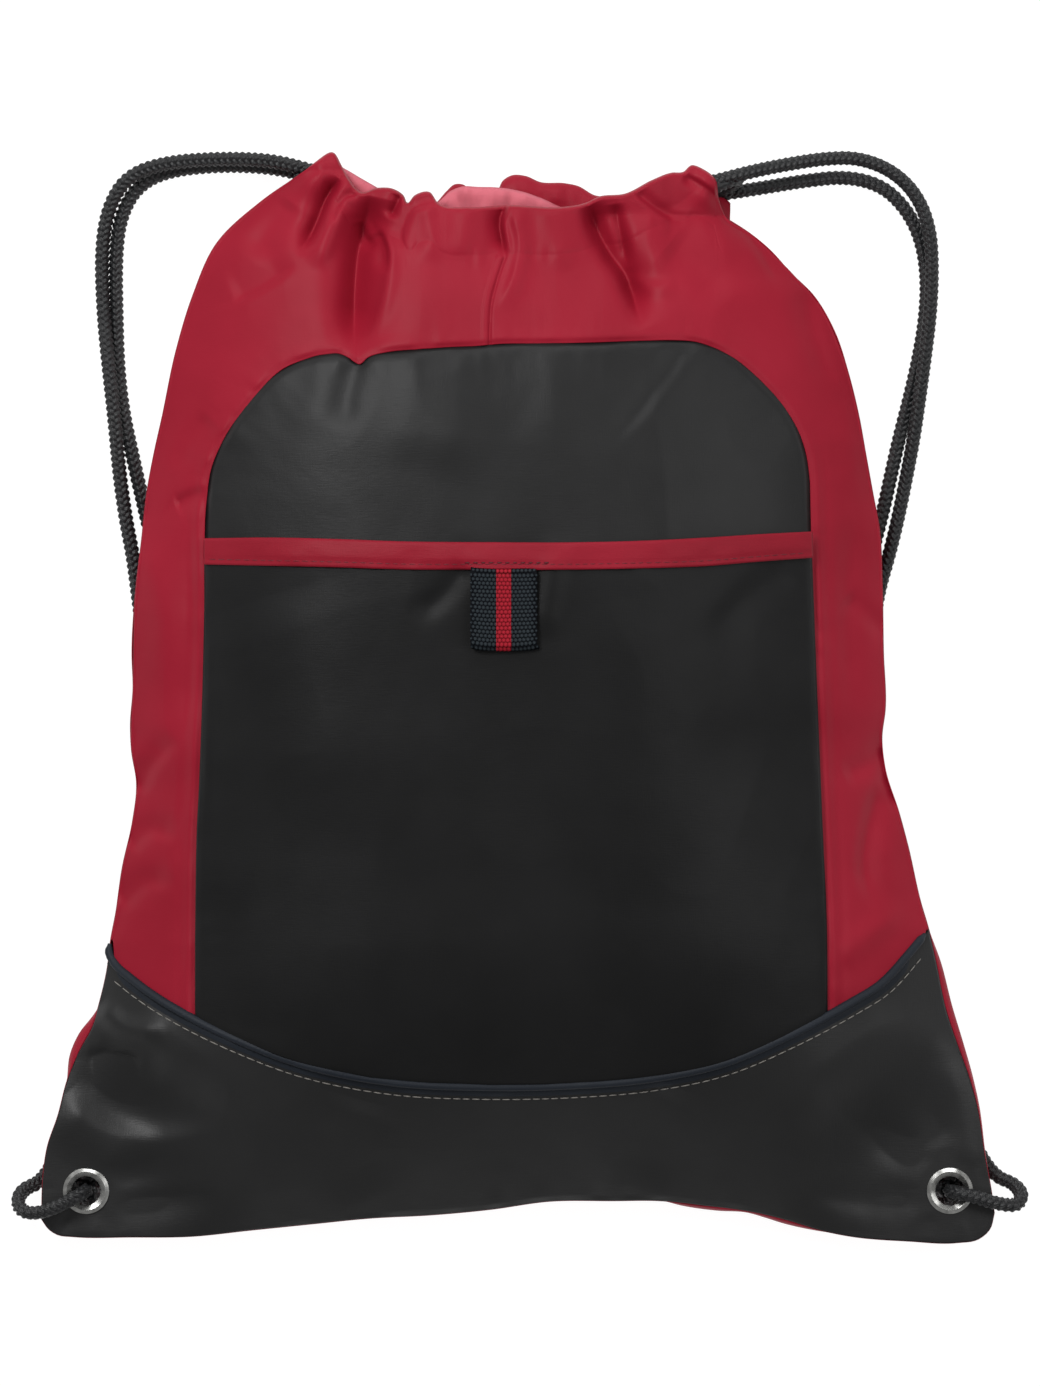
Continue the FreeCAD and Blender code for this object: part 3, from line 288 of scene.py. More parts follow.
# ---------------------------------------------------------------- cord routes, mm
# The CAD model's control points, some of them moved by up to 8 mm, after two inside the casing.
STRANDS = {
    "left_front": [
        (-71, 203.4, 19.5), (-82.9, 207.2, 19.9), (-97, 210.8, 17), (-118, 211.6, 12.5), (-139.6, 210, 9),
        (-153.6, 204.5, 7.4), (-160.8, 192.5, 5.4), (-163.4, 176, 3.6), (-162.6, 152, 4.6),
        (-160.4, 130.3, 7.6), (-158, 108.8, 7.4), (-156.4, 89, 4.6), (-153.9, 70.5, 2.8), (-151, 56, 2.8),
        (-149, 40, 2.7), (-146.6, 22, 2.7), (-144.6, -12, 2.7), (-147, -50, 2.7), (-153, -88, 2.7),
        (-161, -122, 2.7), (-171, -154, 2.7), (-180.5, -179, 3), (-187, -189.5, 5.4), (-193.8, -192, 8.2),
        (-196.3, -196.8, 13.4), (-193.6, -200.8, 18.8), (-186.6, -201, 21.2), (-177.6, -197.4, 21.6),
        (-169, -192.5, 20.6), (-169, -192.5, 8)],
    "left_back": [
        (-71, 201, 8.1), (-82.9, 205.4, 8.1), (-99, 208.8, 4.8), (-119, 209.4, 2.9), (-138.6, 207, 2.7),
        (-150, 200.6, 2.7), (-156.2, 188.6, 2.7), (-157.9, 173, 2.7), (-157.6, 151, 2.7),
        (-157, 130.3, 2.7), (-155, 112.7, 2.7), (-151.6, 97, 2.7), (-148.7, 84, 2.7), (-145, 68, 2.7),
        (-141, 52, 2.7), (-136.6, 22, 2.7), (-134.6, -14, 2.7), (-136.4, -52, 2.7), (-141.6, -90, 2.7),
        (-148.6, -126, 2.7), (-156, -156, 2.8), (-162, -176, 4.2), (-166, -185, 5.6)],
    "right_front": [
        (68, 200, 19.6), (80.4, 203.2, 19.9), (92, 206.4, 17.5), (106, 209.4, 13), (121, 211.8, 10),
        (134, 212, 8), (147, 207, 6.4), (156.6, 197.4, 6.6), (161.6, 184, 8.2), (162.4, 168, 8.4),
        (161.6, 151, 8.4), (159.6, 134.6, 8.2), (157.4, 118, 7.2), (155.2, 102, 4.8), (152.4, 87, 2.8),
        (149.4, 72, 2.8), (145.8, 57, 2.8), (141.4, 42, 2.7), (138.4, 22, 2.7), (137.6, -12, 2.7),
        (143, -50, 2.7), (151.4, -88, 2.7), (161, -122, 2.7), (171, -154, 2.7), (180.5, -178, 3),
        (187.4, -187.5, 5.4), (194.4, -189.8, 8.2), (197.6, -194.2, 13.4), (195.4, -198.2, 18.8),
        (187.6, -197.4, 21.2), (178.4, -194.4, 21.6), (169, -192.5, 20.6), (169, -192.5, 8)],
    "right_back": [
        (69, 196.4, 8.1), (81, 198, 8.1), (97, 200.6, 5), (112, 203.2, 3), (129, 205, 2.7),
        (143, 201.4, 2.7), (152.6, 192, 2.7), (158.4, 180, 2.7), (160.6, 165, 2.7), (159.8, 149, 2.7),
        (157.2, 133.6, 2.7), (153.8, 118.6, 2.7), (150, 104, 2.7), (146.8, 90, 2.7), (143.4, 74, 2.7),
        (138.6, 56, 2.7), (132.4, 24, 2.7), (131.4, -14, 2.7), (136.4, -52, 2.7), (141.6, -90, 2.7),
        (148.6, -126, 2.7), (156, -156, 2.8), (162, -176, 4.2), (166, -185, 5.6)],
}


# ---------------------------------------------------------------- numbers
def lattice(i, j, seed):
    """One repeatable number of -1 to 1 for each pair of whole numbers."""
    n = (i * 374761393 + j * 668265263 + seed * 974634777) & 0xFFFFFFFF
    n = ((n ^ (n >> 13)) * 1274126177) & 0xFFFFFFFF
    return ((n ^ (n >> 16)) & 0xFFFF) / 32767.5 - 1


def noise(x, y, seed):
    """Smooth noise of -1 to 1, with one lattice cell per unit. Each use has a seed of its own."""
    i, j = np.floor(x).astype(np.int64), np.floor(y).astype(np.int64)
    fx, fy = x - i, y - j
    fx, fy = fx * fx * (3 - 2 * fx), fy * fy * (3 - 2 * fy)
    low = lattice(i, j, seed) * (1 - fx) + lattice(i + 1, j, seed) * fx
    high = lattice(i, j + 1, seed) * (1 - fx) + lattice(i + 1, j + 1, seed) * fx
    return low * (1 - fy) + high * fy


def smooth(value, low, high):
    """0 below low, 1 above high, with a soft step between."""
    s = np.clip((value - low) / (high - low), 0, 1)
    return s * s * (3 - 2 * s)


def bell(value, width, power=2):
    """1 at 0, falling to about a third at the width."""
    return np.exp(-(value / width) ** power)


def through(knots, values, at):
    """Smooth curve through values at the knots, read at other places."""
    knots, values = np.asarray(knots, float), np.asarray(values, float)
    at = np.clip(at, knots[0], knots[-1])
    step = np.diff(knots)
    slope = np.diff(values, axis=0) / step[:, None]
    tangent = np.empty_like(values)
    tangent[0], tangent[-1] = slope[0], slope[-1]
    share = (step[:-1] / (step[:-1] + step[1:]))[:, None]
    tangent[1:-1] = slope[:-1] * (1 - share) + slope[1:] * share
    k = np.clip(np.searchsorted(knots, at, side="right") - 1, 0, len(step) - 1)
    s = ((at - knots[k]) / step[k])[:, None]
    wide = step[k][:, None]
    return ((1 + 2 * s) * (1 - s) ** 2 * values[k] + s * (1 - s) ** 2 * wide * tangent[k]
            + s * s * (3 - 2 * s) * values[k + 1] + s * s * (s - 1) * wide * tangent[k + 1])


def chord(points):
    """Distance along a row of points, starting at 0."""
    steps = np.linalg.norm(np.diff(np.asarray(points, float), axis=0), axis=1)
    return np.concatenate([[0], np.cumsum(steps)])


def at_places(line, places):
    """Points of a fine line at distances along it."""
    along = chord(line)
    return np.stack([np.interp(places, along, column) for column in line.T], axis=1)


def rightwards(line):
    """Unit directions to the right of a plane line."""
    direction = np.gradient(line, axis=0)
    direction /= np.linalg.norm(direction, axis=1)[:, None]
    return np.stack([direction[:, 1], -direction[:, 0]], axis=1)


def evenly(points, count):
    """Count points, evenly spaced, on the smooth curve through a few."""
    knots = chord(points)
    fine = through(knots, points, np.linspace(0, knots[-1], 40 * len(points)))
    return at_places(fine, np.linspace(0, chord(fine)[-1], count))


def coons(bottom, top, left, right):
    """Grid of plane points bounded by four rows of points; it runs along bottom first."""
    u = np.linspace(0, 1, len(bottom))[None, :, None]
    v = np.linspace(0, 1, len(left))[:, None, None]
    ruled = (1 - v) * bottom[None] + v * top[None] + (1 - u) * left[:, None] + u * right[:, None]
    corners = ((1 - u) * (1 - v) * bottom[0] + u * (1 - v) * bottom[-1]
               + (1 - u) * v * top[0] + u * v * top[-1])
    return ruled - corners


def nearest(points, route):
    """Distance to a route, place along it in mm, share along it, and side (+1 is left of it)."""
    index = np.zeros(len(points), int)
    for start in range(0, len(points), 4000):
        part = points[start:start + 4000]
        index[start:start + 4000] = ((part[:, None, :] - route[None]) ** 2).sum(2).argmin(1)
    marks = chord(route)
    away, along, side = np.full(len(points), 1e9), np.zeros(len(points)), np.ones(len(points))
    for first in (index - 1, index):
        first = np.clip(first, 0, len(route) - 2)
        start, run = route[first], route[first + 1] - route[first]
        share = np.clip(((points - start) * run).sum(1) / (run ** 2).sum(1), 0, 1)
        gap = points - start - share[:, None] * run
        distance = np.hypot(*gap.T)
        closer = distance < away
        away = np.where(closer, distance, away)
        along = np.where(closer, marks[first] + share * (marks[first + 1] - marks[first]), along)
        turn = np.sign(run[:, 0] * (points - start)[:, 1] - run[:, 1] * (points - start)[:, 0])
        side = np.where(closer, turn, side)
    return away, along, along / marks[-1], side


def folded(xy, folds):
    """Height that a list of folds adds to a panel. Beside a steep side the cloth stands up in a low lip."""
    total = np.zeros(len(xy))
    for route, depth, wide_left, wide_right in folds:
        line = evenly(route, 40)
        reach = 3 * max(wide_left, wide_right) + 2
        low, high = line.min(axis=0) - reach, line.max(axis=0) + reach
        near = np.flatnonzero(((xy > low) & (xy < high)).all(axis=1))
        if not len(near):
            continue
        away, _, share, side = nearest(xy[near], line)
        wide = np.where(side > 0, wide_left, wide_right)
        fade = smooth(share, -0.06, 0.16) * (1 - smooth(share, 0.66, 1.02))
        valley = bell(away, wide, CREASED if depth > DEEP else 2)
        steep = (wide < 2.3) & (max(wide_left, wide_right) > 1.8 * wide) & (depth > 0)
        lip = LIP * bell(away - 2.4 * wide, 1.3 * wide) * steep
        total[near] -= depth * fade * (valley - lip)
    return total


def seam_relief(xy, route, depth, pucker, pitch, reach, seed):
    """Small ditch at a seam, and the puckers that run away from it."""
    away, along, _, _ = nearest(xy, route)
    ditch = -depth * bell(away, 1.5)
    uneven = noise(along / pitch, away / 30, seed) + 0.5 * noise(along / (pitch * 0.45), away / 12, seed + 1)
    size = 0.55 + 0.45 * noise(along / 60, away * 0, seed + 2)
    return ditch + pucker * uneven * size * np.exp(-away / reach) * smooth(away, 0, 2.5)


def crumple(xy, strength, seed):
    """Shallow uneven ripples of thin coated cloth."""
    x, y = xy[:, 0], xy[:, 1]
    bend = 14 * noise(x / 70, y / 70, seed)
    wide = noise((x + bend) / 46, (y - bend) / 60, seed + 1)
    ridged = 1 - np.abs(noise((x + bend) / 26, (y + bend) / 40, seed + 2)) * 2
    fine = noise((x - bend) / 11, y / 15, seed + 3)
    return strength * (0.9 * wide + 0.34 * ridged + 0.12 * fine)


# ---------------------------------------------------------------- heights of the skins
EDGE_LEFT = evenly(LEFT_SIDE, 300)
EDGE_RIGHT = evenly(RIGHT_SIDE, 300)
LOWER_LEFT = evenly(BASE_LEFT, 200)
LOWER_RIGHT = evenly(BASE_RIGHT, 200)
HEM_LINE = evenly(HEM, 400)
PIPING_LINE = evenly(PIPING, 500)
ARCH_LINE = evenly([inner for inner, outer in ARCH], 900)
ARCH_NEAR = ARCH_LINE[::3]
PIPING_NEAR = PIPING_LINE[::3]
HEM_NEAR = HEM_LINE[::2]
SIDE_ROWS_LEFT = np.concatenate([LOWER_LEFT[::-1], EDGE_LEFT[1:]])
SIDE_ROWS_RIGHT = np.concatenate([LOWER_RIGHT[::-1], EDGE_RIGHT[1:]])


def across(xy):
    """-1 to 1 from the left side seam to the right one, and half the width there."""
    left = np.interp(xy[:, 1], SIDE_ROWS_LEFT[:, 1], SIDE_ROWS_LEFT[:, 0])
    right = np.interp(xy[:, 1], SIDE_ROWS_RIGHT[:, 1], SIDE_ROWS_RIGHT[:, 0])
    half = (right - left) / 2
    return np.clip((xy[:, 0] - (left + right) / 2) / half, -1, 1), half


def from_eyelets(xy):
    """Distance from the nearer eyelet."""
    return np.minimum(np.hypot(*(xy - LEFT_EYELET[:2]).T), np.hypot(*(xy - RIGHT_EYELET[:2]).T))


def fullness(xy):
    """0 where a corner is pressed flat round its eyelet, 1 where the filling is at full height."""
    return smooth(from_eyelets(xy), CORNER_FLAT, CORNER_BLEND)


def above_hem(xy):
    """Distance up from the hem."""
    return xy[:, 1] - np.interp(xy[:, 0], HEM_LINE[:, 0], HEM_LINE[:, 1])


def end_lift(xy):
    """Rise of the front over the cords where they leave the two ends of its casing."""
    total = np.zeros(len(xy))
    for x, y, lift, reach in ENDS:
        total += lift * np.exp(-((xy[:, 0] - x) ** 2 + (xy[:, 1] - y) ** 2) / reach ** 2)
    return total


def front_z(xy):
    """Outside of the filled front."""
    t, _ = across(xy)
    places, heights = zip(*RISE)
    rise = through(places, [[height] for height in heights], xy[:, 1])[:, 0]
    hem = np.clip(1 - above_hem(xy) / HEM_SLOPE, 0, 1)
    return SEAM_Z + rise * (1 - np.abs(t) ** 3) * (1 - hem ** 2) * fullness(xy) + CLOTH


def pocket_z(xy):
    """Outside of the slip pocket, which stands off the inset."""
    wide = np.clip(1 - (xy[:, 0] / POCKET_HALF_WIDTH) ** 2, 0, 1)
    down = np.clip((POCKET_MOUTH_Y - xy[:, 1]) / (POCKET_MOUTH_Y - POCKET_FOOT_Y), 0, 1)
    return front_z(xy) + CLOTH + POCKET_SLACK * wide * (1 - down ** 2)


def back_z(xy):
    """Outside of the back, which lies on the table and curls up to the seam."""
    t, half = across(xy)
    side = np.clip(1 - half * (1 - np.abs(t)) / BACK_MARGIN, 0, 1) ** 1.5
    hem = np.clip(1 - above_hem(xy) / BACK_MARGIN, 0, 1) ** 1.5
    return SEAM_Z - (SEAM_Z - 0.6) * (1 - side) * (1 - hem) * fullness(xy)


# ---------------------------------------------------------------- meshes
def grid_faces(rows, columns, ring=False):
    """Quads of a grid; ring joins the last column to the first."""
    last = columns if ring else columns - 1
    i, j = np.meshgrid(np.arange(rows - 1), np.arange(last), indexing="ij")
    nxt = (j + 1) % columns
    low, high = i * columns, (i + 1) * columns
    quads = np.stack([low + j, low + nxt, high + nxt, high + j], -1)
    return quads.reshape(-1, 4)


def surface(rows):
    """Points and faces of a grid given as rows of points."""
    grid = np.array(rows)
    return grid.reshape(-1, 3), grid_faces(*grid.shape[:2])


def raised(xy, z):
    """Plane points, in a row or a grid, with their heights."""
    return np.concatenate([xy, np.reshape(z, (*xy.shape[:-1], 1))], axis=-1)


def outside_eyelets(faces, xy):
    """Faces that keep clear of the holes under the two eyelets."""
    hole = from_eyelets(xy) < EYELET_CUT
    return faces[~hole[faces].any(axis=1)]


def as_lists(faces):
    """Faces as plain lists of point numbers."""
    return faces.tolist() if isinstance(faces, np.ndarray) else [list(face) for face in faces]


def make_mesh(name, points, faces, material, slot, body=None):
    """Piece from points in mm."""
    mesh = bpy.data.meshes.new(name)
    mesh.from_pydata((np.asarray(points, float) * MM).tolist(), [], as_lists(faces))
    mesh.update()
    mesh.polygons.foreach_set("use_smooth", [True] * len(mesh.polygons))
    mesh.materials.append(material)
    piece = bpy.data.objects.new(name, mesh)
    bpy.context.scene.collection.objects.link(piece)
    if body:
        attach(piece, body)
    return piece


def join_parts(parts):
    """Points and faces of several meshes as one."""
    points, faces, start = [], [], 0
    for some_points, some_faces in parts:
        points.append(some_points)
        faces += [[index + start for index in face] for face in as_lists(some_faces)]
        start += len(some_points)
    return np.concatenate(points), faces


def thicken(piece, thickness, offset=-1.0):
    """Give a sheet its thickness: inwards at -1, to both sides at 0."""
    solid = piece.modifiers.new("thickness", "SOLIDIFY")
    solid.thickness = thickness * MM
    solid.offset = offset
    solid.use_rim = True
    return piece


def frames_along(line):
    """Tangent and two normals at each point of a line, turning as little as possible."""
    tangent = np.gradient(line, axis=0)
    tangent /= np.linalg.norm(tangent, axis=1)[:, None]
    normal = np.empty_like(tangent)
    start = np.cross(tangent[0], [0.0, 0.0, 1.0])
    if np.linalg.norm(start) < 0.1:
        start = np.cross(tangent[0], [1.0, 0.0, 0.0])
    normal[0] = start / np.linalg.norm(start)
    for k in range(1, len(line)):
        n = normal[k - 1] - tangent[k] * (normal[k - 1] @ tangent[k])
        normal[k] = n / np.linalg.norm(n)
    return tangent, normal, np.cross(tangent, normal)


def sweep(line, radii_a, radii_b=None, sides=12, relief=None):
    """Closed tube round a line; radii along the two normals, with relief(angle, along) added all round."""
    radii_b = radii_a if radii_b is None else radii_b
    _, normal, other = frames_along(line)
    angle = np.linspace(0, 2 * math.pi, sides, endpoint=False)
    a, along = np.meshgrid(angle, chord(line))
    extra = relief(a, along) if relief else 0 * a
    ra = (np.broadcast_to(radii_a, (len(line),))[:, None] + extra) * np.cos(a)
    rb = (np.broadcast_to(radii_b, (len(line),))[:, None] + extra) * np.sin(a)
    points = line[:, None] + ra[..., None] * normal[:, None] + rb[..., None] * other[:, None]
    faces = grid_faces(len(line), sides, ring=True).tolist()
    faces.append(list(range(sides))[::-1])
    faces.append([(len(line) - 1) * sides + k for k in range(sides)])
    return points.reshape(-1, 3), faces


# ---------------------------------------------------------------- materials
def new_material(name, roughness, specular=0.5):
    """Material with its nodes, its links and its main shader."""
    material = bpy.data.materials.new(name)
    material.use_nodes = True
    nodes = material.node_tree.nodes
    shader = nodes["Principled BSDF"]
    shader.inputs["Roughness"].default_value = roughness
    shader.inputs["Specular IOR Level"].default_value = specular
    return material, nodes, material.node_tree.links, shader


def noise_node(nodes, links, scale, detail):
    """Noise with this many cycles per metre along each axis of the object."""
    place = nodes.new("ShaderNodeTexCoord")
    mapping = nodes.new("ShaderNodeMapping")
    mapping.inputs["Scale"].default_value = scale
    links.new(place.outputs["Object"], mapping.inputs["Vector"])
    texture = nodes.new("ShaderNodeTexNoise")
    texture.inputs["Scale"].default_value = 1.0
    texture.inputs["Detail"].default_value = detail
    links.new(mapping.outputs["Vector"], texture.inputs["Vector"])
    return texture.outputs["Fac"]


def ramp_node(nodes, links, factor, stops):
    """Colour from (place, colour) stops."""
    ramp = nodes.new("ShaderNodeValToRGB")
    while len(ramp.color_ramp.elements) < len(stops):
        ramp.color_ramp.elements.new(0.5)
    for element, (place, colour) in zip(ramp.color_ramp.elements, stops):
        element.position = place
        element.color = (*colour, 1)
    links.new(factor, ramp.inputs["Fac"])
    return ramp.outputs["Color"]


def bump_node(nodes, links, height, strength, distance, below=None):
    """Relief on top of the one below; the distance is in metres."""
    bump = nodes.new("ShaderNodeBump")
    bump.inputs["Strength"].default_value = strength
    bump.inputs["Distance"].default_value = distance
    links.new(height, bump.inputs["Height"])
    if below is not None:
        links.new(below, bump.inputs["Normal"])
    return bump.outputs["Normal"]


def satin(name, dark, light, roughness, specular, weave=0.12):
    """Thin coated polyester: fine cross threads, slubs and a slow change of shade."""
    material, nodes, links, shader = new_material(name, roughness, specular)
    slow = noise_node(nodes, links, (22, 22, 22), 3.0)
    links.new(ramp_node(nodes, links, slow, [(0.3, dark), (0.7, light)]), shader.inputs["Base Color"])
    across_threads = noise_node(nodes, links, (260, 1900, 260), 1.0)
    along_threads = noise_node(nodes, links, (1900, 260, 260), 1.0)
    slubs = noise_node(nodes, links, (90, 90, 90), 3.0)
    relief = bump_node(nodes, links, across_threads, weave, 0.0002)
    relief = bump_node(nodes, links, along_threads, weave * 0.8, 0.0002, relief)
    relief = bump_node(nodes, links, slubs, 0.16, 0.0008, relief)
    links.new(relief, shader.inputs["Normal"])
    return material


def fibrous(name, cycles, detail, stops, roughness, specular=0.5, relief=None, metallic=0.0):
    """Surface whose shade follows one fine noise, and whose relief (strength, metres) follows it too."""
    material, nodes, links, shader = new_material(name, roughness, specular)
    fibre = noise_node(nodes, links, (cycles, cycles, cycles), detail)
    links.new(ramp_node(nodes, links, fibre, stops), shader.inputs["Base Color"])
    shader.inputs["Metallic"].default_value = metallic
    if relief:
        links.new(bump_node(nodes, links, fibre, *relief), shader.inputs["Normal"])
    return material


def webbing_material(centre_x):
    """Charcoal ribs with a red stripe down the middle, with painted shade in the gaps between the yarns and
    painted highlights on their tops.
    """
    stripe_half = 2.9
    # Ramps from painted shade in the yarns' gaps to painted highlight on their tops.
    grey_painted_shading = [(0.72, (0.0012, 0.0020, 0.0036)), (1.0, (0.030, 0.038, 0.044))]
    red_painted_shading = [(0.6, (0.085, 0.0006, 0.0024)), (1.0, (0.38, 0.016, 0.030))]
    material, nodes, links, shader = new_material("webbing", 0.7, 0.08)
    place = nodes.new("ShaderNodeTexCoord")
    split = nodes.new("ShaderNodeSeparateXYZ")
    links.new(place.outputs["Object"], split.inputs["Vector"])
    inside = nodes.new("ShaderNodeMath")
    inside.operation = "COMPARE"
    inside.inputs[1].default_value = centre_x * MM
    inside.inputs[2].default_value = stripe_half * MM
    links.new(split.outputs["X"], inside.inputs[0])
    # Attribute that carries the painted shade and painted highlight of each yarn.
    painted_yarn_shading = nodes.new("ShaderNodeAttribute")
    painted_yarn_shading.attribute_name = "painted_yarn_shading"
    mix = nodes.new("ShaderNodeMix")
    mix.data_type = "RGBA"
    links.new(inside.outputs[0], mix.inputs[0])
    links.new(ramp_node(nodes, links, painted_yarn_shading.outputs["Fac"], grey_painted_shading), mix.inputs[6])
    links.new(ramp_node(nodes, links, painted_yarn_shading.outputs["Fac"], red_painted_shading), mix.inputs[7])
    links.new(mix.outputs[2], shader.inputs["Base Color"])
    fibre = noise_node(nodes, links, (1400, 1400, 1400), 2.0)
    links.new(bump_node(nodes, links, fibre, 0.25, 0.0002), shader.inputs["Normal"])
    return material


def thread_material(name, colour):
    """Sewing thread, darker between its fibres."""
    return fibrous(name, 1500, 1.0, [(0.3, [0.7 * c for c in colour]), (0.7, colour)], 0.55)


RED = satin("red_satin", (0.256, 0.0066, 0.0195), (0.305, 0.0096, 0.0258), 0.5, 0.13)
CHARCOAL = satin("charcoal_satin", (0.0115, 0.0115, 0.0117), (0.0165, 0.0165, 0.0168), 0.46, 0.2, 0.2)
POCKET_CHARCOAL = satin("pocket_satin", (0.0078, 0.0078, 0.0080), (0.0115, 0.0115, 0.0118), 0.46, 0.12, 0.2)
LINING = satin("red_lining", (0.52, 0.115, 0.15), (0.62, 0.155, 0.195), 0.6, 0.15)
BASE_CHARCOAL = satin("base_satin", (0.0090, 0.0090, 0.0092), (0.0140, 0.0140, 0.0143), 0.44, 0.34, 0.2)
BINDING = satin("red_tape", (0.222, 0.0070, 0.0175), (0.275, 0.0105, 0.0245), 0.5, 0.12, 0.3)
NAVY = satin("navy_bias", (0.009, 0.012, 0.018), (0.015, 0.019, 0.026), 0.55, 0.2, 0.4)
BLACK_CORD = fibrous("black_braid", 900, 2.0,
                     [(0.25, (0.003, 0.0033, 0.004)), (0.75, (0.0165, 0.017, 0.0185))],
                     0.46, 0.4, relief=(0.35, 0.0003))
NICKEL = fibrous("nickel", 420, 4.0, [(0.3, (0.30, 0.30, 0.29)), (0.7, (0.55, 0.55, 0.53))], 0.26,
                 relief=(0.08, 0.0002), metallic=1.0)
GREY_THREAD = thread_material("grey_thread", (0.23, 0.215, 0.195))
RED_THREAD = thread_material("red_thread", (0.16, 0.008, 0.018))
TAB_THREAD = thread_material("dark_red_thread", (0.075, 0.002, 0.006))


# ---------------------------------------------------------------- red front with its casing
def roll_share(outer):
    """1 along the gathered mouth and 0 down the sides, where the edge is only seamed."""
    x, y = outer[:, 0], outer[:, 1]
    return smooth(x, *MOUTH_LEFT) * (1 - smooth(x, *MOUTH_RIGHT)) * smooth(y, MOUTH_FOOT_Y, MOUTH_FOOT_Y + 4)


def lower_envelope(heights, reach):
    """Smoothed lowest height within a number of places on both sides."""
    low = np.array([heights[max(0, k - reach):k + reach + 1].min() for k in range(len(heights))])
    window = 2 * (reach // 2) + 1
    return np.convolve(np.pad(low, reach // 2, mode="edge"), np.ones(window) / window, "valid")


def red_front():
    """Frame round the inset, gathered at the top, where it rolls over into the casing."""
    columns, rows, fine = 900, 120, 2000
    crowded = 1.6            # how much closer the columns stand along the gathers
    sideways = 0.35          # share of the edge's sideways turn that is kept at the mouth
    foot_blend = 14          # length of the edge over which the frame's foot comes down to the piping
    under_reach = 28         # columns on each side that the inner ply is levelled over
    inner_knots = np.array([inner for inner, outer in ARCH])
    outer_knots = np.array([outer for inner, outer in ARCH])
    knots = (chord(inner_knots) + 2 * chord(outer_knots)) / 3
    gathered = (outer_knots[:, 1] > MOUTH_FOOT_Y).astype(float)
    density = np.interp(np.linspace(0, knots[-1], fine), knots, 1 + crowded * gathered)
    spread = np.concatenate([[0], np.cumsum(density)[:-1]])
    s = np.interp(np.linspace(0, spread[-1], columns), spread, np.linspace(0, knots[-1], fine))
    inner = through(knots, inner_knots, s)
    outer = through(knots, outer_knots, s)
    share = roll_share(outer)
    away = -rightwards(outer)
    away = np.where(share[:, None] > 0.5, away * [[sideways, 1]], away)
    away /= np.linalg.norm(away, axis=1)[:, None]
    proud = SIDE_ROLL + (MOUTH_CRISP - SIDE_ROLL) * share
    edge = outer - away * proud[:, None]
    t = np.linspace(0, 1, rows)
    t = 0.75 * t + 0.25 * (1 - np.cos(math.pi * t)) / 2
    xy = inner[None] * (1 - t[:, None, None]) + edge[None] * t[:, None, None]
    for corner, place in ((0, s), (-1, s[-1] - s)):
        row = xy[:, corner]
        under = np.interp(row[:, 0], PIPING_LINE[:, 0], PIPING_LINE[:, 1]) - 1.0
        drop = (under - row[:, 1]) * smooth(t, 0, 0.03) * (1 - smooth(t, 0.97, 1))
        xy[:, :, 1] += drop[:, None] * (1 - smooth(place, 0, foot_blend))[None]
    flat = xy.reshape(-1, 2)
    z = front_z(flat) + folded(flat, CROWN_FOLDS) + red_details(flat) + end_lift(flat)
    below_mouth = ((1 - t)[:, None] * np.linalg.norm(outer - inner, axis=1)[None]).reshape(-1)
    z += np.tile(share, rows) * casing_relief(flat, below_mouth)
    grid = raised(xy, z)
    start = grid[-1]
    under_ply = lower_envelope(start[:, 2], under_reach) - CASING_DEPTH
    drop = 2 * SIDE_ROLL * (1 - share) + (start[:, 2] - under_ply) * share
    turns = []
    for turn in np.linspace(0.12, 1, 9) * math.pi:
        out = away * (proud * math.sin(turn))[:, None]
        turns.append(start + raised(out, -drop * (1 - math.cos(turn)) / 2))
    last = turns[-1]
    ply = 1.5 + (CASING_HEIGHT - 4) * share
    for part in (0.33, 0.66, 1.0):
        turns.append(last + raised(-away * (part * ply)[:, None], -part * share))
    points, faces = surface(np.concatenate([grid, turns]))
    piece = make_mesh("red_front_cloth", points, faces, RED, "red_cloth", "bag")
    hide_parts("front_frame_left", "front_frame_right", "front_casing")
    return thicken(piece, CLOTH_SHOWN)


def casing_relief(xy, below):
    """Puffed tunnel between the folded edge and its stitch line, crossed by gathers that fade below it."""
    x = xy[:, 0]
    puff = 0.35 * np.sin(np.clip(below / CASING_HEIGHT, 0, 1) * math.pi) ** 0.7
    stitched = -0.12 * bell(below - CASING_HEIGHT, 0.9)
    pleat = noise(x / 8.5 + 0.02 * below, x * 0, 21) + 0.5 * noise(x / 4.6, below / 60, 22)
    reach = bell(below, 22)
    tucks = 0.28 * noise(x / 3.0, below / 9, 23) * bell(below - CASING_HEIGHT, 5)
    return puff + stitched + 0.9 * pleat * reach + tucks


def red_details(xy):
    """Ridge beside the arch seam, the centre seam with its allowance, puckers at the edge, and ripples."""
    relief = seam_relief(xy, ARCH_NEAR, 0.75, 0.8, 7.0, 7.0, 31)
    seam_away = nearest(xy, ARCH_NEAR)[0]
    side_only = 1 - 0.85 * smooth(xy[:, 1], 70, 120)
    relief += 0.34 * side_only * bell(seam_away - 2.8, 1.5)
    relief -= 0.22 * side_only * bell(seam_away - 6.4, 1.8)
    away, _, share, side = nearest(xy, evenly(SEAM_CENTRE, 80))
    run = smooth(share, 0, 0.06)
    relief -= 0.9 * bell(away, 0.7) * run
    allowance = (side < 0) * (away < 12)
    relief += 0.35 * allowance * (1 - smooth(away, 2.6, 3.4)) * run
    outer = np.concatenate([EDGE_LEFT, EDGE_RIGHT[::-1]])[::3]
    relief += seam_relief(xy, outer, 0.0, 0.55, 10.0, 9.0, 37)
    return relief + crumple(xy, 1.0, 41)


# ---------------------------------------------------------------- charcoal panels
def arch_sides():
    """The arch seam's left half upwards, and its right half upwards."""
    middle = len(ARCH_LINE) // 2
    return ARCH_LINE[:middle], ARCH_LINE[middle:][::-1]


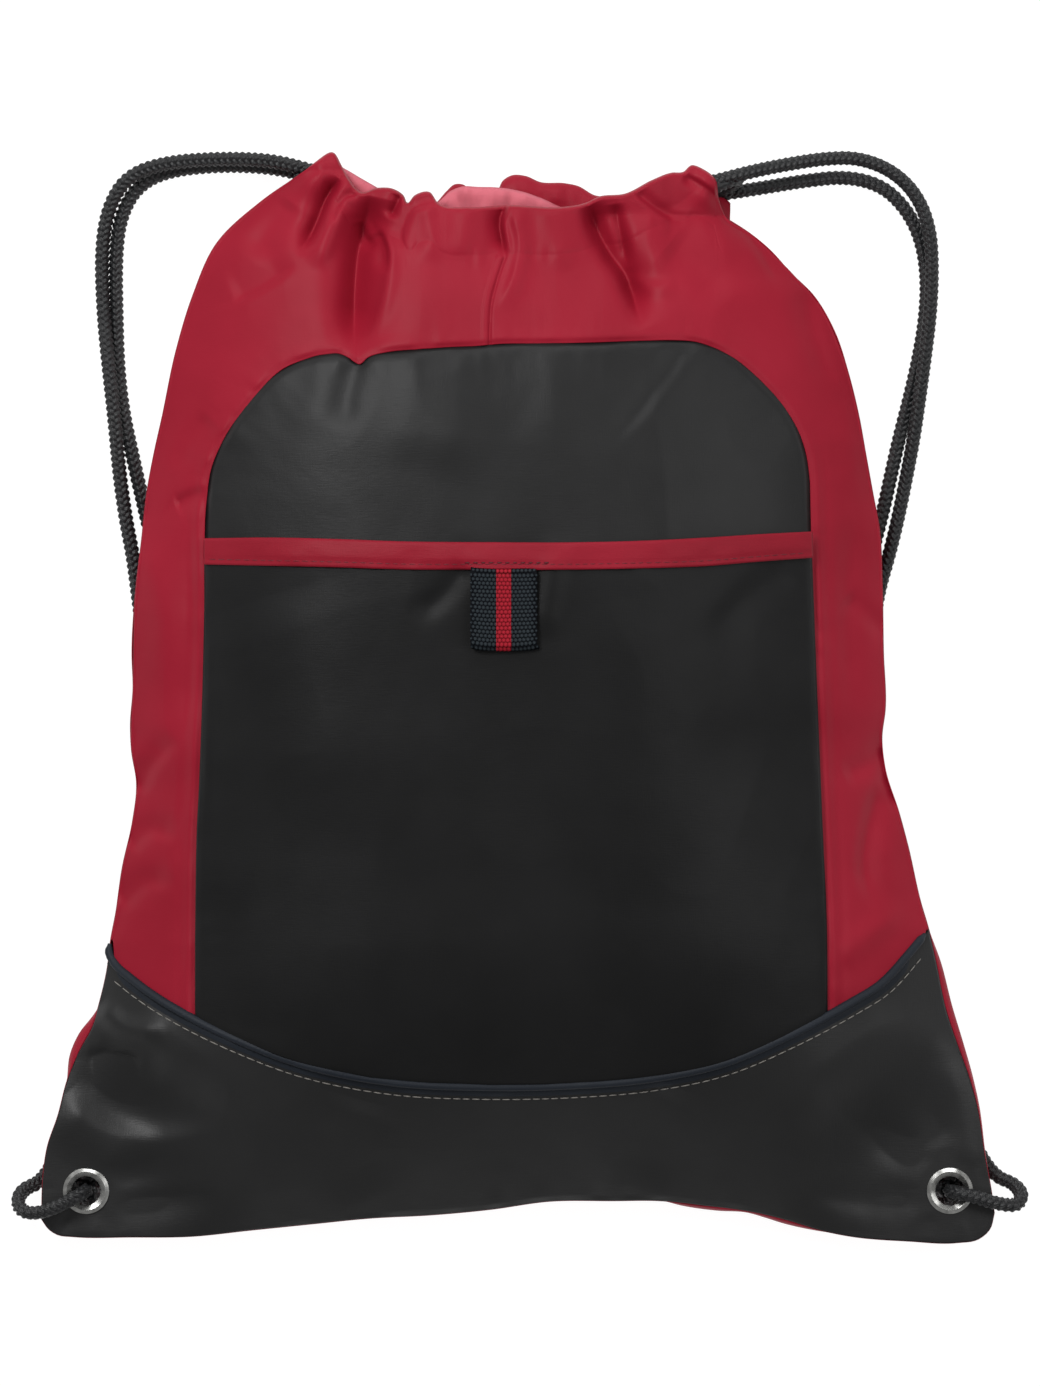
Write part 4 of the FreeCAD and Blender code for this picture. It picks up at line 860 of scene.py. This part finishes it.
def inset():
    """Backing of the pocket: the whole arch, down to the piping."""
    corner_y = 116.0
    left, right = arch_sides()
    k = int(np.argmax(left[:, 1] > corner_y))
    m = int(np.argmax(right[:, 1] > corner_y))
    side_left, side_right = evenly(left[:k + 1:4], 160), evenly(right[:m + 1:4], 160)
    top = evenly(np.concatenate([left[k:], right[m:][::-1]])[::5], 190)
    top[0], top[-1] = side_left[-1], side_right[-1]
    foot = bottom_line(side_left[0], side_right[0], 190)
    xy = coons(foot, top, side_left, side_right)
    flat = xy.reshape(-1, 2)
    z = (front_z(flat) - 0.5 + folded(flat, CHARCOAL_FOLDS)
         + seam_relief(flat, ARCH_NEAR, 1.0, 0.8, 7.0, 9.0, 51))
    z += crumple(flat, 1.0, 53)
    piece = make_mesh("inset_cloth", *surface(raised(xy, z)), CHARCOAL, "charcoal_cloth", "bag")
    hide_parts("pocket_backing")
    return thicken(piece, CLOTH_SHOWN)


def bottom_line(start, end, count):
    """Stretch of the piping line between two x places."""
    inside = PIPING_LINE[(PIPING_LINE[:, 0] > start[0]) & (PIPING_LINE[:, 0] < end[0])]
    return evenly(np.concatenate([[start], inside[::20], [end]]), count)


def pocket_skin(flat, puckers=True):
    """Height of the slip pocket's outside, with its folds."""
    z = pocket_z(flat) + folded(flat, CHARCOAL_FOLDS[INSET_ONLY:]) + crumple(flat, 0.7, 61)
    if puckers:
        z += (seam_relief(flat, ARCH_NEAR, 0.8, 0.5, 9.0, 8.0, 63)
              + seam_relief(flat, PIPING_NEAR, 0.4, 0.7, 11.0, 12.0, 65))
        z += seam_relief(flat, evenly(POCKET_TOP, 300), 0.0, 0.25, 12.0, 8.0, 67)
    return z


def side_between(side, low, high, count):
    """Stretch of one side of the arch between the heights of two points."""
    part = side[(side[:, 1] > low[1]) & (side[:, 1] < high[1])]
    return evenly(np.concatenate([[low], part[::12], [high]]), count)


def pocket():
    """Slip pocket over the lower part of the inset."""
    columns, rows = 220, 200
    top = evenly(POCKET_TOP, columns)
    left, right = arch_sides()
    side_left = side_between(left, left[0], top[0], rows)
    side_right = side_between(right, right[0], top[-1], rows)
    xy = coons(bottom_line(side_left[0], side_right[0], columns), top, side_left, side_right)
    z = pocket_skin(xy.reshape(-1, 2))
    piece = make_mesh("pocket_cloth", *surface(raised(xy, z)), POCKET_CHARCOAL, "charcoal_cloth", "bag")
    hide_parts("pocket_panel")
    return thicken(piece, CLOTH_SHOWN)


def on_tape(xy, share):
    """Height of the tape's outside. The share is 0 at its foot and 1 at the pocket's mouth."""
    x, y = xy[:, 0], xy[:, 1]
    lift = TAPE + 0.35 * np.sin(share * math.pi) + 0.12 * noise(x / 7, y / 9, 71)
    lift += 0.55 * noise(x / 21, y / 9, 72) + 0.3 * noise(x / 8, y / 5, 73)
    lift -= 0.3 * bell(share - 0.24, 0.07)
    lift += 1.1 * bell(x - TAB_MIDDLE, 15.5, 6) * (1 - share) ** 2
    return pocket_skin(xy, False) + lift


def binding():
    """Tape folded over the pocket's mouth."""
    columns, inside = 420, 7.5
    top, foot = evenly(POCKET_TOP, columns), evenly(BINDING_FOOT, columns)
    rows = []
    for share in np.linspace(0, 1, 12):
        xy = foot * (1 - share) + top * share
        rows.append(raised(xy, on_tape(xy, share)))
    edge = rows[-1]
    for turn in (0.25, 0.5, 0.75, 1.0):
        rows.append(edge + [0, TAPE * math.sin(turn * math.pi), -1.1 * (1 - math.cos(turn * math.pi))])
    rows.append(rows[-1] + [0, -inside, 0.2])
    piece = make_mesh("pocket_binding_tape", *surface(rows), BINDING, "red_tape", "bag")
    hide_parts("pocket_binding")
    thicken(piece, 0.4)


def base_skin(flat):
    """Height of the base panel's outside, with rays of small folds round its eyelets."""
    z = front_z(flat) + folded(flat, BASE_FOLDS) + crumple(flat, 0.8, 81) * (0.35 + 0.65 * fullness(flat))
    z += seam_relief(flat, PIPING_NEAR, 0.8, 0.5, 10.0, 9.0, 83)
    z += seam_relief(flat, HEM_NEAR, 0.0, 0.8, 13.0, 14.0, 85)
    for eyelet in (LEFT_EYELET, RIGHT_EYELET):
        gap = flat - eyelet[:2]
        away = np.hypot(*gap.T)
        ray = noise(np.arctan2(gap[:, 1], gap[:, 0]) * 3.2, away / 40, 87)
        z += 0.4 * ray * bell(away - 17, 11) * smooth(away, 10, 15)
    return np.maximum(z, front_z(flat) - 0.9 - 2.6 * fullness(flat))


def base():
    """Panel below the piping, with both corners."""
    columns, rows = 420, 150
    xy = coons(evenly(HEM, columns), evenly(PIPING, columns), evenly(BASE_LEFT, rows)[::-1],
               evenly(BASE_RIGHT, rows)[::-1]).reshape(-1, 2)
    faces = outside_eyelets(grid_faces(rows, columns), xy)
    piece = make_mesh("base_cloth", raised(xy, base_skin(xy)), faces, BASE_CHARCOAL, "charcoal_cloth", "bag")
    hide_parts("base_panel")
    return thicken(piece, CLOTH_SHOWN)


# ---------------------------------------------------------------- back
def back_skin(flat, edge):
    """Height of the back's outside, pressed flat where the bag lies on the table."""
    away, along, _, _ = nearest(flat, edge)
    z = back_z(flat) - EDGE_DROP * bell(away, 2.5)
    z += crumple(flat, 0.8, 91) * (0.25 + 0.75 * smooth(z, 1.0, 6.0))
    z += 0.7 * noise(along / 11, away / 30, 93) * np.exp(-away / 12) * smooth(away, 0, 3)
    return np.clip(z, 0.55, front_z(flat) - 1.6 - 2.8 * fullness(flat))


def back():
    """Back panel: flat on the table, curled up to the seam, turned over it where the base is narrower."""
    columns, rows = 220, 260
    hem = evenly(BACK_HEM, columns)
    left = evenly(BACK_LEFT[::-1] + LEFT_SIDE[1:], rows)
    right = evenly(BACK_RIGHT[::-1] + RIGHT_SIDE[1:], rows)
    top = evenly([LEFT_SIDE[-1], (-50, 196), (0, 192), (45, 190), RIGHT_SIDE[-1]], columns)
    xy = coons(hem, top, left, right).reshape(-1, 2)
    z = back_skin(xy, np.concatenate([left, right[::-1], hem]))
    body = (raised(xy, z), outside_eyelets(grid_faces(rows, columns), xy)[:, ::-1])
    rim_left = back_rim(left, BASE_LEFT[::-1] + LEFT_SIDE[1:])
    rim_right = back_rim(right, BASE_RIGHT[::-1] + RIGHT_SIDE[1:])
    points, faces = join_parts([body, rim_left, rim_right, back_rim(hem, HEM)])
    piece = make_mesh("back_cloth", points, faces, RED, "red_cloth", "bag")
    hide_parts("back_panel")
    return thicken(piece, CLOTH_SHOWN, 0.0)


def back_rim(outer, seam_points):
    """Strip from the outermost line of the back up and over to the seam with the front."""
    seam = evenly(seam_points, len(outer))
    low, high = back_z(outer) - EDGE_DROP, front_z(seam) - 0.6
    strip = []
    for share in np.linspace(0, 1, 6):
        z = low + (high - low) * math.sin(share * math.pi / 2)
        strip.append(raised(outer * (1 - share) + seam * share, z))
    return surface(strip)


def back_casing():
    """Gathered tunnel of the back panel, behind the mouth."""
    columns, sides = 420, 44
    top = evenly(BACK_CASING_TOP, columns)
    x = top[:, 0]
    low_z, middle_z, high_z = 1.6, 7.4, 14.0
    gather = noise(x / 7.5, x * 0, 101) + 0.5 * noise(x / 3.6, x * 0, 102)
    half_deep = 4.6 + 0.9 * gather
    half_high = CASING_HEIGHT / 2
    rows = []
    for angle in np.linspace(0, 2 * math.pi, sides, endpoint=False):
        c, s = math.cos(angle), math.sin(angle)
        y = top[:, 1] - half_high + half_high * math.copysign(abs(c) ** 0.9, c)
        z = middle_z + half_deep * s + 0.7 * noise(x / 5.0, np.full(columns, 3 * c), 103) * s
        rows.append(np.stack([x, y, np.clip(z, low_z, high_z)], axis=1))
    points, faces = surface(rows)
    last = (sides - 1) * columns
    wrap = [[last + j, last + j + 1, j + 1, j] for j in range(columns - 1)]
    piece = make_mesh("back_casing_cloth", points, faces.tolist() + wrap, RED, "red_cloth", "bag")
    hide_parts("back_casing")
    thicken(piece, CLOTH_SHOWN)


def lining():
    """Wrong side of the back, paler, seen in the open mouth."""
    shown, level = 44, 15.8
    top = evenly(LINING_TOP, 260)
    x = top[:, 0]
    wave = noise(x / 9.0, x * 0, 111) + 0.5 * noise(x / 4.0, x * 0, 112)
    rise = 6.0 * bell(x + 16, 30) + 3.0 * bell(x + 62, 8)
    rows = []
    for share in np.linspace(0, 1, 26):
        y = top[:, 1] - shown * share
        bunch = 1.5 * noise(x / 5.0 + 3 * share, y / 9.0, 113) + 0.6 * noise(x / 2.6, y / 5.0, 114)
        curl = 3.0 * max(0, 1 - share / 0.08) ** 2
        z = level + (rise + 2.0 * wave + bunch) * (1 - share) - 2.0 * share - curl
        rows.append(np.stack([x, y, z], axis=1))
    piece = make_mesh("mouth_lining", *surface(rows[::-1]), LINING, "red_cloth", "bag")
    thicken(piece, CLOTH_SHOWN)


# ---------------------------------------------------------------- piping and stitches
def twill(angle, along):
    """Fine diagonal relief of the bias tape."""
    return 0.05 * np.sin(2 * math.pi * along / 1.6 + 2 * angle)


def piping():
    """Filled bias tape in the curved seam, with the flange that its stitches hold."""
    half_wide, half_high, flange_wide = 1.75, 1.45, 2.6
    line = evenly(PIPING, 700)[3:-5]
    path = raised(line, front_z(line) + 0.9)
    ends = np.minimum(np.arange(len(line)), np.arange(len(line))[::-1])
    full = 0.45 + 0.55 * smooth(ends, 0, 6)
    tape = sweep(path, half_wide * full, half_high * full, 14, twill)
    reach = smooth(ends, 12, 34)
    down = rightwards(line)
    rows = []
    for share in np.linspace(0, 1, 7):
        xy = line + down * ((0.4 + 0.8 * reach) + flange_wide * share * reach)[:, None]
        rows.append(raised(xy, base_skin(xy) + 0.75 - 0.45 * share))
    points, faces = join_parts([tape, surface(rows[::-1])])
    piece = make_mesh("piping_tape", points, faces, NAVY, "navy_piping", "bag")
    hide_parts("piping")


def stitches(name, line, height, length, gap, radius, material, slot):
    """Row of thread dashes that dip into the cloth at both ends."""
    whole = chord(line)[-1]
    arc = np.sin(np.linspace(0, math.pi, 6))
    parts = []
    start = gap
    while start + length < whole:
        long = length * (1 + 0.14 * float(lattice(len(parts), 3, 7)))
        xy = at_places(line, np.linspace(start, start + long, 6))
        path = raised(xy, height(xy) + 0.02 + radius * 1.1 * arc)
        parts.append(sweep(path, radius * (0.55 + 0.45 * arc), sides=6))
        start += long + gap
    points, faces = join_parts(parts)
    make_mesh(name, points, faces, material, slot, "bag")


def binding_thread(xy):
    """Height of the tape's outside along the binding's row of stitches."""
    return on_tape(xy, 0.24)


def tab_thread(xy):
    """The same along the row over the tab, sunk a little to stay clear of the webbing when it turns up."""
    return on_tape(xy, 0.31) - 0.2


def all_stitches():
    """Topstitch below the piping, the binding's stitches, and the heavier row that holds the tab."""
    below_piping, above_foot, tab_half = 5.0, 2.1, 17
    piping_row = evenly(PIPING, 900)[34:-18]
    base_row = piping_row + below_piping * rightwards(piping_row)
    stitches("base_topstitch", base_row, base_skin, 3.1, 0.8, 0.26, GREY_THREAD, "charcoal_cloth")
    binding_row = evenly(BINDING_FOOT, 700)[4:-4] + [0, above_foot]
    stitches("binding_stitches", binding_row, binding_thread, 2.4, 0.8, 0.16, RED_THREAD, "red_tape")
    tab_row = binding_row[np.abs(binding_row[:, 0] - TAB_MIDDLE + 1) < tab_half] + [0, 0.6]
    stitches("tab_stitches", tab_row, tab_thread, 1.7, 1.3, 0.28, TAB_THREAD, "red_tape")


# ---------------------------------------------------------------- pull tab
def pull_tab():
    """Webbing folded in two: ribs across, with the bumps of each warp end, round the fold and back."""
    width = TAB_HIGH[0] - TAB_LOW[0]
    back_step, step = 1.5, 0.2        # sideways shift of the layer behind; distance between rows
    centre = TAB_MIDDLE - back_step
    top_y, foot_y = TAB_HIGH[1], TAB_LOW[1]
    top_z, low_z = TAB_HIGH[2], TAB_LOW[2]
    rib, end = 1.56, 1.56             # pitch of the ribs, and of the warp ends
    binding_y = (48.0, 51.6)          # where the webbing dives under the binding
    u = np.linspace(-1, 1, 130)
    x = centre + u * width / 2
    turn_radius = (top_z - low_z) / 2 - 0.1
    straight = top_y - foot_y - turn_radius
    turned = math.pi * turn_radius
    rows, shades = [], []
    for place in np.arange(0, 2 * straight + turned, step):
        if place < straight:
            y, z, ny, nz = top_y - place, top_z - 0.1, 0.0, 1.0
        elif place < straight + turned:
            turn = (place - straight) / turn_radius
            y = foot_y + turn_radius - turn_radius * math.sin(turn)
            z = low_z + turn_radius + turn_radius * math.cos(turn)
            ny, nz = -math.sin(turn), math.cos(turn)
        else:
            y, z, ny, nz = foot_y + turn_radius + place - straight - turned, low_z + 0.1, 0.0, -1.0
        slant = place + 0.35 * u ** 2 + 0.12 * noise(x / 6, x * 0 + place / 9, 121)
        row = np.floor(slant / rib)
        across_rib = np.sin(math.pi * (slant / rib - row))
        bump = np.abs(np.sin(math.pi * (x - centre) / end + (row % 2) * math.pi / 2))
        tops = across_rib ** 0.8 * (0.3 + 0.7 * bump)
        height = 0.5 * tops * (1 - np.abs(u) ** 12) - 0.25
        side_step = back_step * min(1, max(0, (place - straight) / turned))
        sag = 0.6 * min(1, place / straight) * u ** 2
        tucked = 3.0 * smooth(y, *binding_y)
        rows.append(np.stack([x + side_step, y + ny * height + sag, z + nz * height - tucked], axis=1))
        shades.append(tops)
    piece = make_mesh("tab_webbing", *surface(rows), webbing_material(centre), "striped_webbing", "pull_tab")
    # The rib tops' heights are also kept as painted shading: painted shade in the gaps, painted highlight on
    # the tops.
    painted_yarn_shading = piece.data.attributes.new("painted_yarn_shading", "FLOAT", "POINT")
    painted_yarn_shading.data.foreach_set("value", np.concatenate(shades))
    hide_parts("pull_tab")
    thicken(piece, 0.8)


# ---------------------------------------------------------------- cords
def nurbs_line(points, step=0.4):
    """Evenly spaced points, in mm, on the NURBS curve that has these control points."""
    data = bpy.data.curves.new("route", "CURVE")
    data.dimensions = "3D"
    spline = data.splines.new("NURBS")
    spline.points.add(len(points) - 1)
    for point, place in zip(spline.points, points):
        point.co = (place[0] * MM, place[1] * MM, place[2] * MM, 1)
    spline.order_u = 3
    spline.use_endpoint_u = True
    spline.resolution_u = 24
    holder = bpy.data.objects.new("route", data)
    bpy.context.scene.collection.objects.link(holder)
    bpy.context.view_layer.update()
    mesh = bpy.data.meshes.new_from_object(holder.evaluated_get(bpy.context.evaluated_depsgraph_get()))
    line = np.array([v.co for v in mesh.vertices], float) / MM
    bpy.data.objects.remove(holder)
    bpy.data.curves.remove(data)
    bpy.data.meshes.remove(mesh)
    length = chord(line)[-1]
    return at_places(line, np.linspace(0, length, int(length / step)))


def braid(angle, along):
    """Relief of a round plait: two sets of strands, each over two and under two of the other."""
    ends, pitch = 6, 15.0
    first = angle / (2 * math.pi) * ends + along / pitch * ends
    second = angle / (2 * math.pi) * ends - along / pitch * ends
    i, j = np.floor(first), np.floor(second)
    a, b = first - i, second - j
    phase = (i + j) % 4
    on_top = phase < 2
    crossways = np.where(on_top, a, b) - 0.5
    lengthways = np.where(on_top, (phase + b) / 2, (phase - 2 + a) / 2) - 0.5
    bump = np.cos(math.pi * crossways) ** 0.6 * (0.25 + 0.75 * np.cos(math.pi * lengthways) ** 0.7)
    return 1.15 * bump - 0.72


def strand(side, layer):
    """One strand of a strap with its tail, as a single cord."""
    key = side + "_" + layer
    line = nurbs_line(STRANDS[key])
    points, faces = sweep(line, CORD / 2 - PLAIT_ROOM, sides=40, relief=braid)
    piece = make_mesh("cord_" + key, points, faces, BLACK_CORD, "black_cord")
    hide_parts("strap_cord_" + key, "tail_cord_" + key)
    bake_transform(piece)


def outward(joint, reach):
    """Place on a strap's hinge line, and the place that far outside it, in metres."""
    found = next(j for j in frame["joints"] if j["name"] == joint)
    place, axis = np.array(found["pos_m"]), np.array(found["axis"])
    across_axis = np.cross(axis, [0, 0, 1.0])
    across_axis[2] = 0
    across_axis /= np.linalg.norm(across_axis)
    if across_axis[0] * place[0] < 0:
        across_axis = -across_axis
    return place, place + across_axis * reach * MM


def cords():
    """Both drawcords: the strands with their tails, the runs inside the casings, and the knots."""
    for side in ("left", "right"):
        hinge = outward("strap_%s_swing" % side, STRAP_HINGE)
        for layer in ("front", "back"):
            strand(side, layer)
    for side, sign in (("left", -1), ("right", 1)):
        inside_casings(side, sign)
        knot(side)


def inside_casings(side, sign):
    """Cord inside both casings, with its turn at the far end; it stays under the front's gathers."""
    lane = -sign * 3.0
    middle_y, middle_z, half_wide = 182.5, 31.5, 82
    under_gathers = 5.6
    front = [(sign * x, middle_y + lane + 16 * (x / half_wide) ** 2, middle_z - 12 * (x / half_wide) ** 2)
             for x in (70, 40, 0, -40, -72)]
    turn = [(sign * -86, 204, 17), (sign * -86, 202, 10)]
    back_x, back_y = np.array(BACK_CASING_TOP).T
    home = [(sign * x, float(np.interp(sign * x, back_x, back_y)) - 9 + lane * 0.92, 7.6)
            for x in range(-66, 67, 12)]
    line = nurbs_line(front + turn + home, 0.9)
    roof = lower_envelope(front_z(line[:, :2]) + folded(line[:, :2], CROWN_FOLDS) - under_gathers, 9)
    upper = np.arange(len(line)) < len(line) * 0.45
    line[:, 2] = np.where(upper, np.minimum(line[:, 2], roof), line[:, 2])
    points, faces = sweep(line, CORD / 2 - BURIED_ROOM, sides=16, relief=braid)
    piece = make_mesh("cord_in_casings_" + side, points, faces, BLACK_CORD, "black_cord", "bag")
    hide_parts("casing_cord_" + side)


def knot(side):
    """Overhand knot under a corner eyelet; seen from above it fills the eyelet's hole."""
    low, high = box_mm("knot_" + side)
    eye = LEFT_EYELET if side == "left" else RIGHT_EYELET
    middle, rise = np.array([eye[0], eye[1] + 1.5, (low[2] + high[2]) / 2]), (high[2] - low[2]) / 2
    turn = np.linspace(0, 2 * math.pi, 220, endpoint=False)
    radius = CORD / 2 - BURIED_ROOM
    lobe = 6.4
    x = (np.sin(turn) + 2 * np.sin(2 * turn)) / 3 * lobe
    y = (np.cos(turn) - 2 * np.cos(2 * turn)) / 3 * lobe
    z = -np.sin(3 * turn) * (rise - radius)
    line = np.stack([x, y, z], axis=1) + middle
    line = np.concatenate([line, line[:1]])
    points, faces = sweep(line, radius, sides=28, relief=braid)
    piece = make_mesh("stopper_knot_" + side, points, faces, BLACK_CORD, "black_cord", "bag")
    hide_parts("knot_" + side)


def eyelets():
    """The CAD eyelets and washers are shown as they are, in nickel."""
    for side in ("left", "right"):
        for kind in ("eyelet_", "washer_"):
            node = frame["nodes"][kind + side]
            node.data.materials.clear()
            node.data.materials.append(NICKEL)


# ---------------------------------------------------------------- stage
def stage():
    """Table that looks nearly white by its own light, so that the bag's shadow stays faint."""
    half = 3.0
    corners = [(-half, -half, 0), (half, -half, 0), (half, half, 0), (-half, half, 0)]
    floor_mesh = bpy.data.meshes.new("floor")
    floor_mesh.from_pydata(corners, [], [(0, 1, 2, 3)])
    floor = bpy.data.objects.new("floor", floor_mesh)
    bpy.context.scene.collection.objects.link(floor)
    material, _, _, shader = new_material("pale_floor", 1.0, 0.0)
    shader.inputs["Base Color"].default_value = (0.12, 0.12, 0.12, 1)
    shader.inputs["Emission Color"].default_value = (1, 1, 1, 1)
    shader.inputs["Emission Strength"].default_value = 0.96
    floor_mesh.materials.append(material)


def soft_light(name, place, power, size):
    """Rectangular lamp that points at the bag."""
    data = bpy.data.lights.new(name, "AREA")
    data.energy = power
    data.shape = "RECTANGLE"
    data.size, data.size_y = size
    light = bpy.data.objects.new(name, data)
    bpy.context.scene.collection.objects.link(light)
    light.location = place
    direction = Vector((0, 0, VIEW_LEVEL * MM)) - light.location
    light.rotation_euler = direction.to_track_quat("-Z", "Y").to_euler()


def lights_and_camera():
    """Even studio light with a key from the upper left, and a long lens straight above the bag."""
    scene = bpy.context.scene
    scene.world = bpy.data.worlds.new("studio")
    scene.world.use_nodes = True
    background = scene.world.node_tree.nodes["Background"]
    background.inputs["Color"].default_value = (1, 1, 1, 1)
    background.inputs["Strength"].default_value = 0.34
    soft_light("key", (-0.8, 0.85, 1.5), 20, (0.6, 0.6))
    soft_light("fill", (1.1, 0.3, 1.4), 8, (0.9, 1.0))
    soft_light("top", (0.1, 1.5, 0.9), 8, (1.2, 0.5))
    data = bpy.data.cameras.new("camera")
    data.sensor_width = SENSOR
    data.lens = LENS
    camera = bpy.data.objects.new("camera", data)
    scene.collection.objects.link(camera)
    x, y = VIEW_CENTRE
    camera.location = (x * MM, y * MM, (VIEW_LEVEL + VIEW_HEIGHT * LENS / SENSOR) * MM)
    scene.camera = camera
    scene.view_settings.view_transform = "Standard"
    scene.view_settings.look = "None"


lights_and_camera()
stage()
cords()
cloth = [red_front(), inset(), pocket(), base(), back()]
back_casing()
lining()
binding()
piping()
all_stitches()
pull_tab()
eyelets()
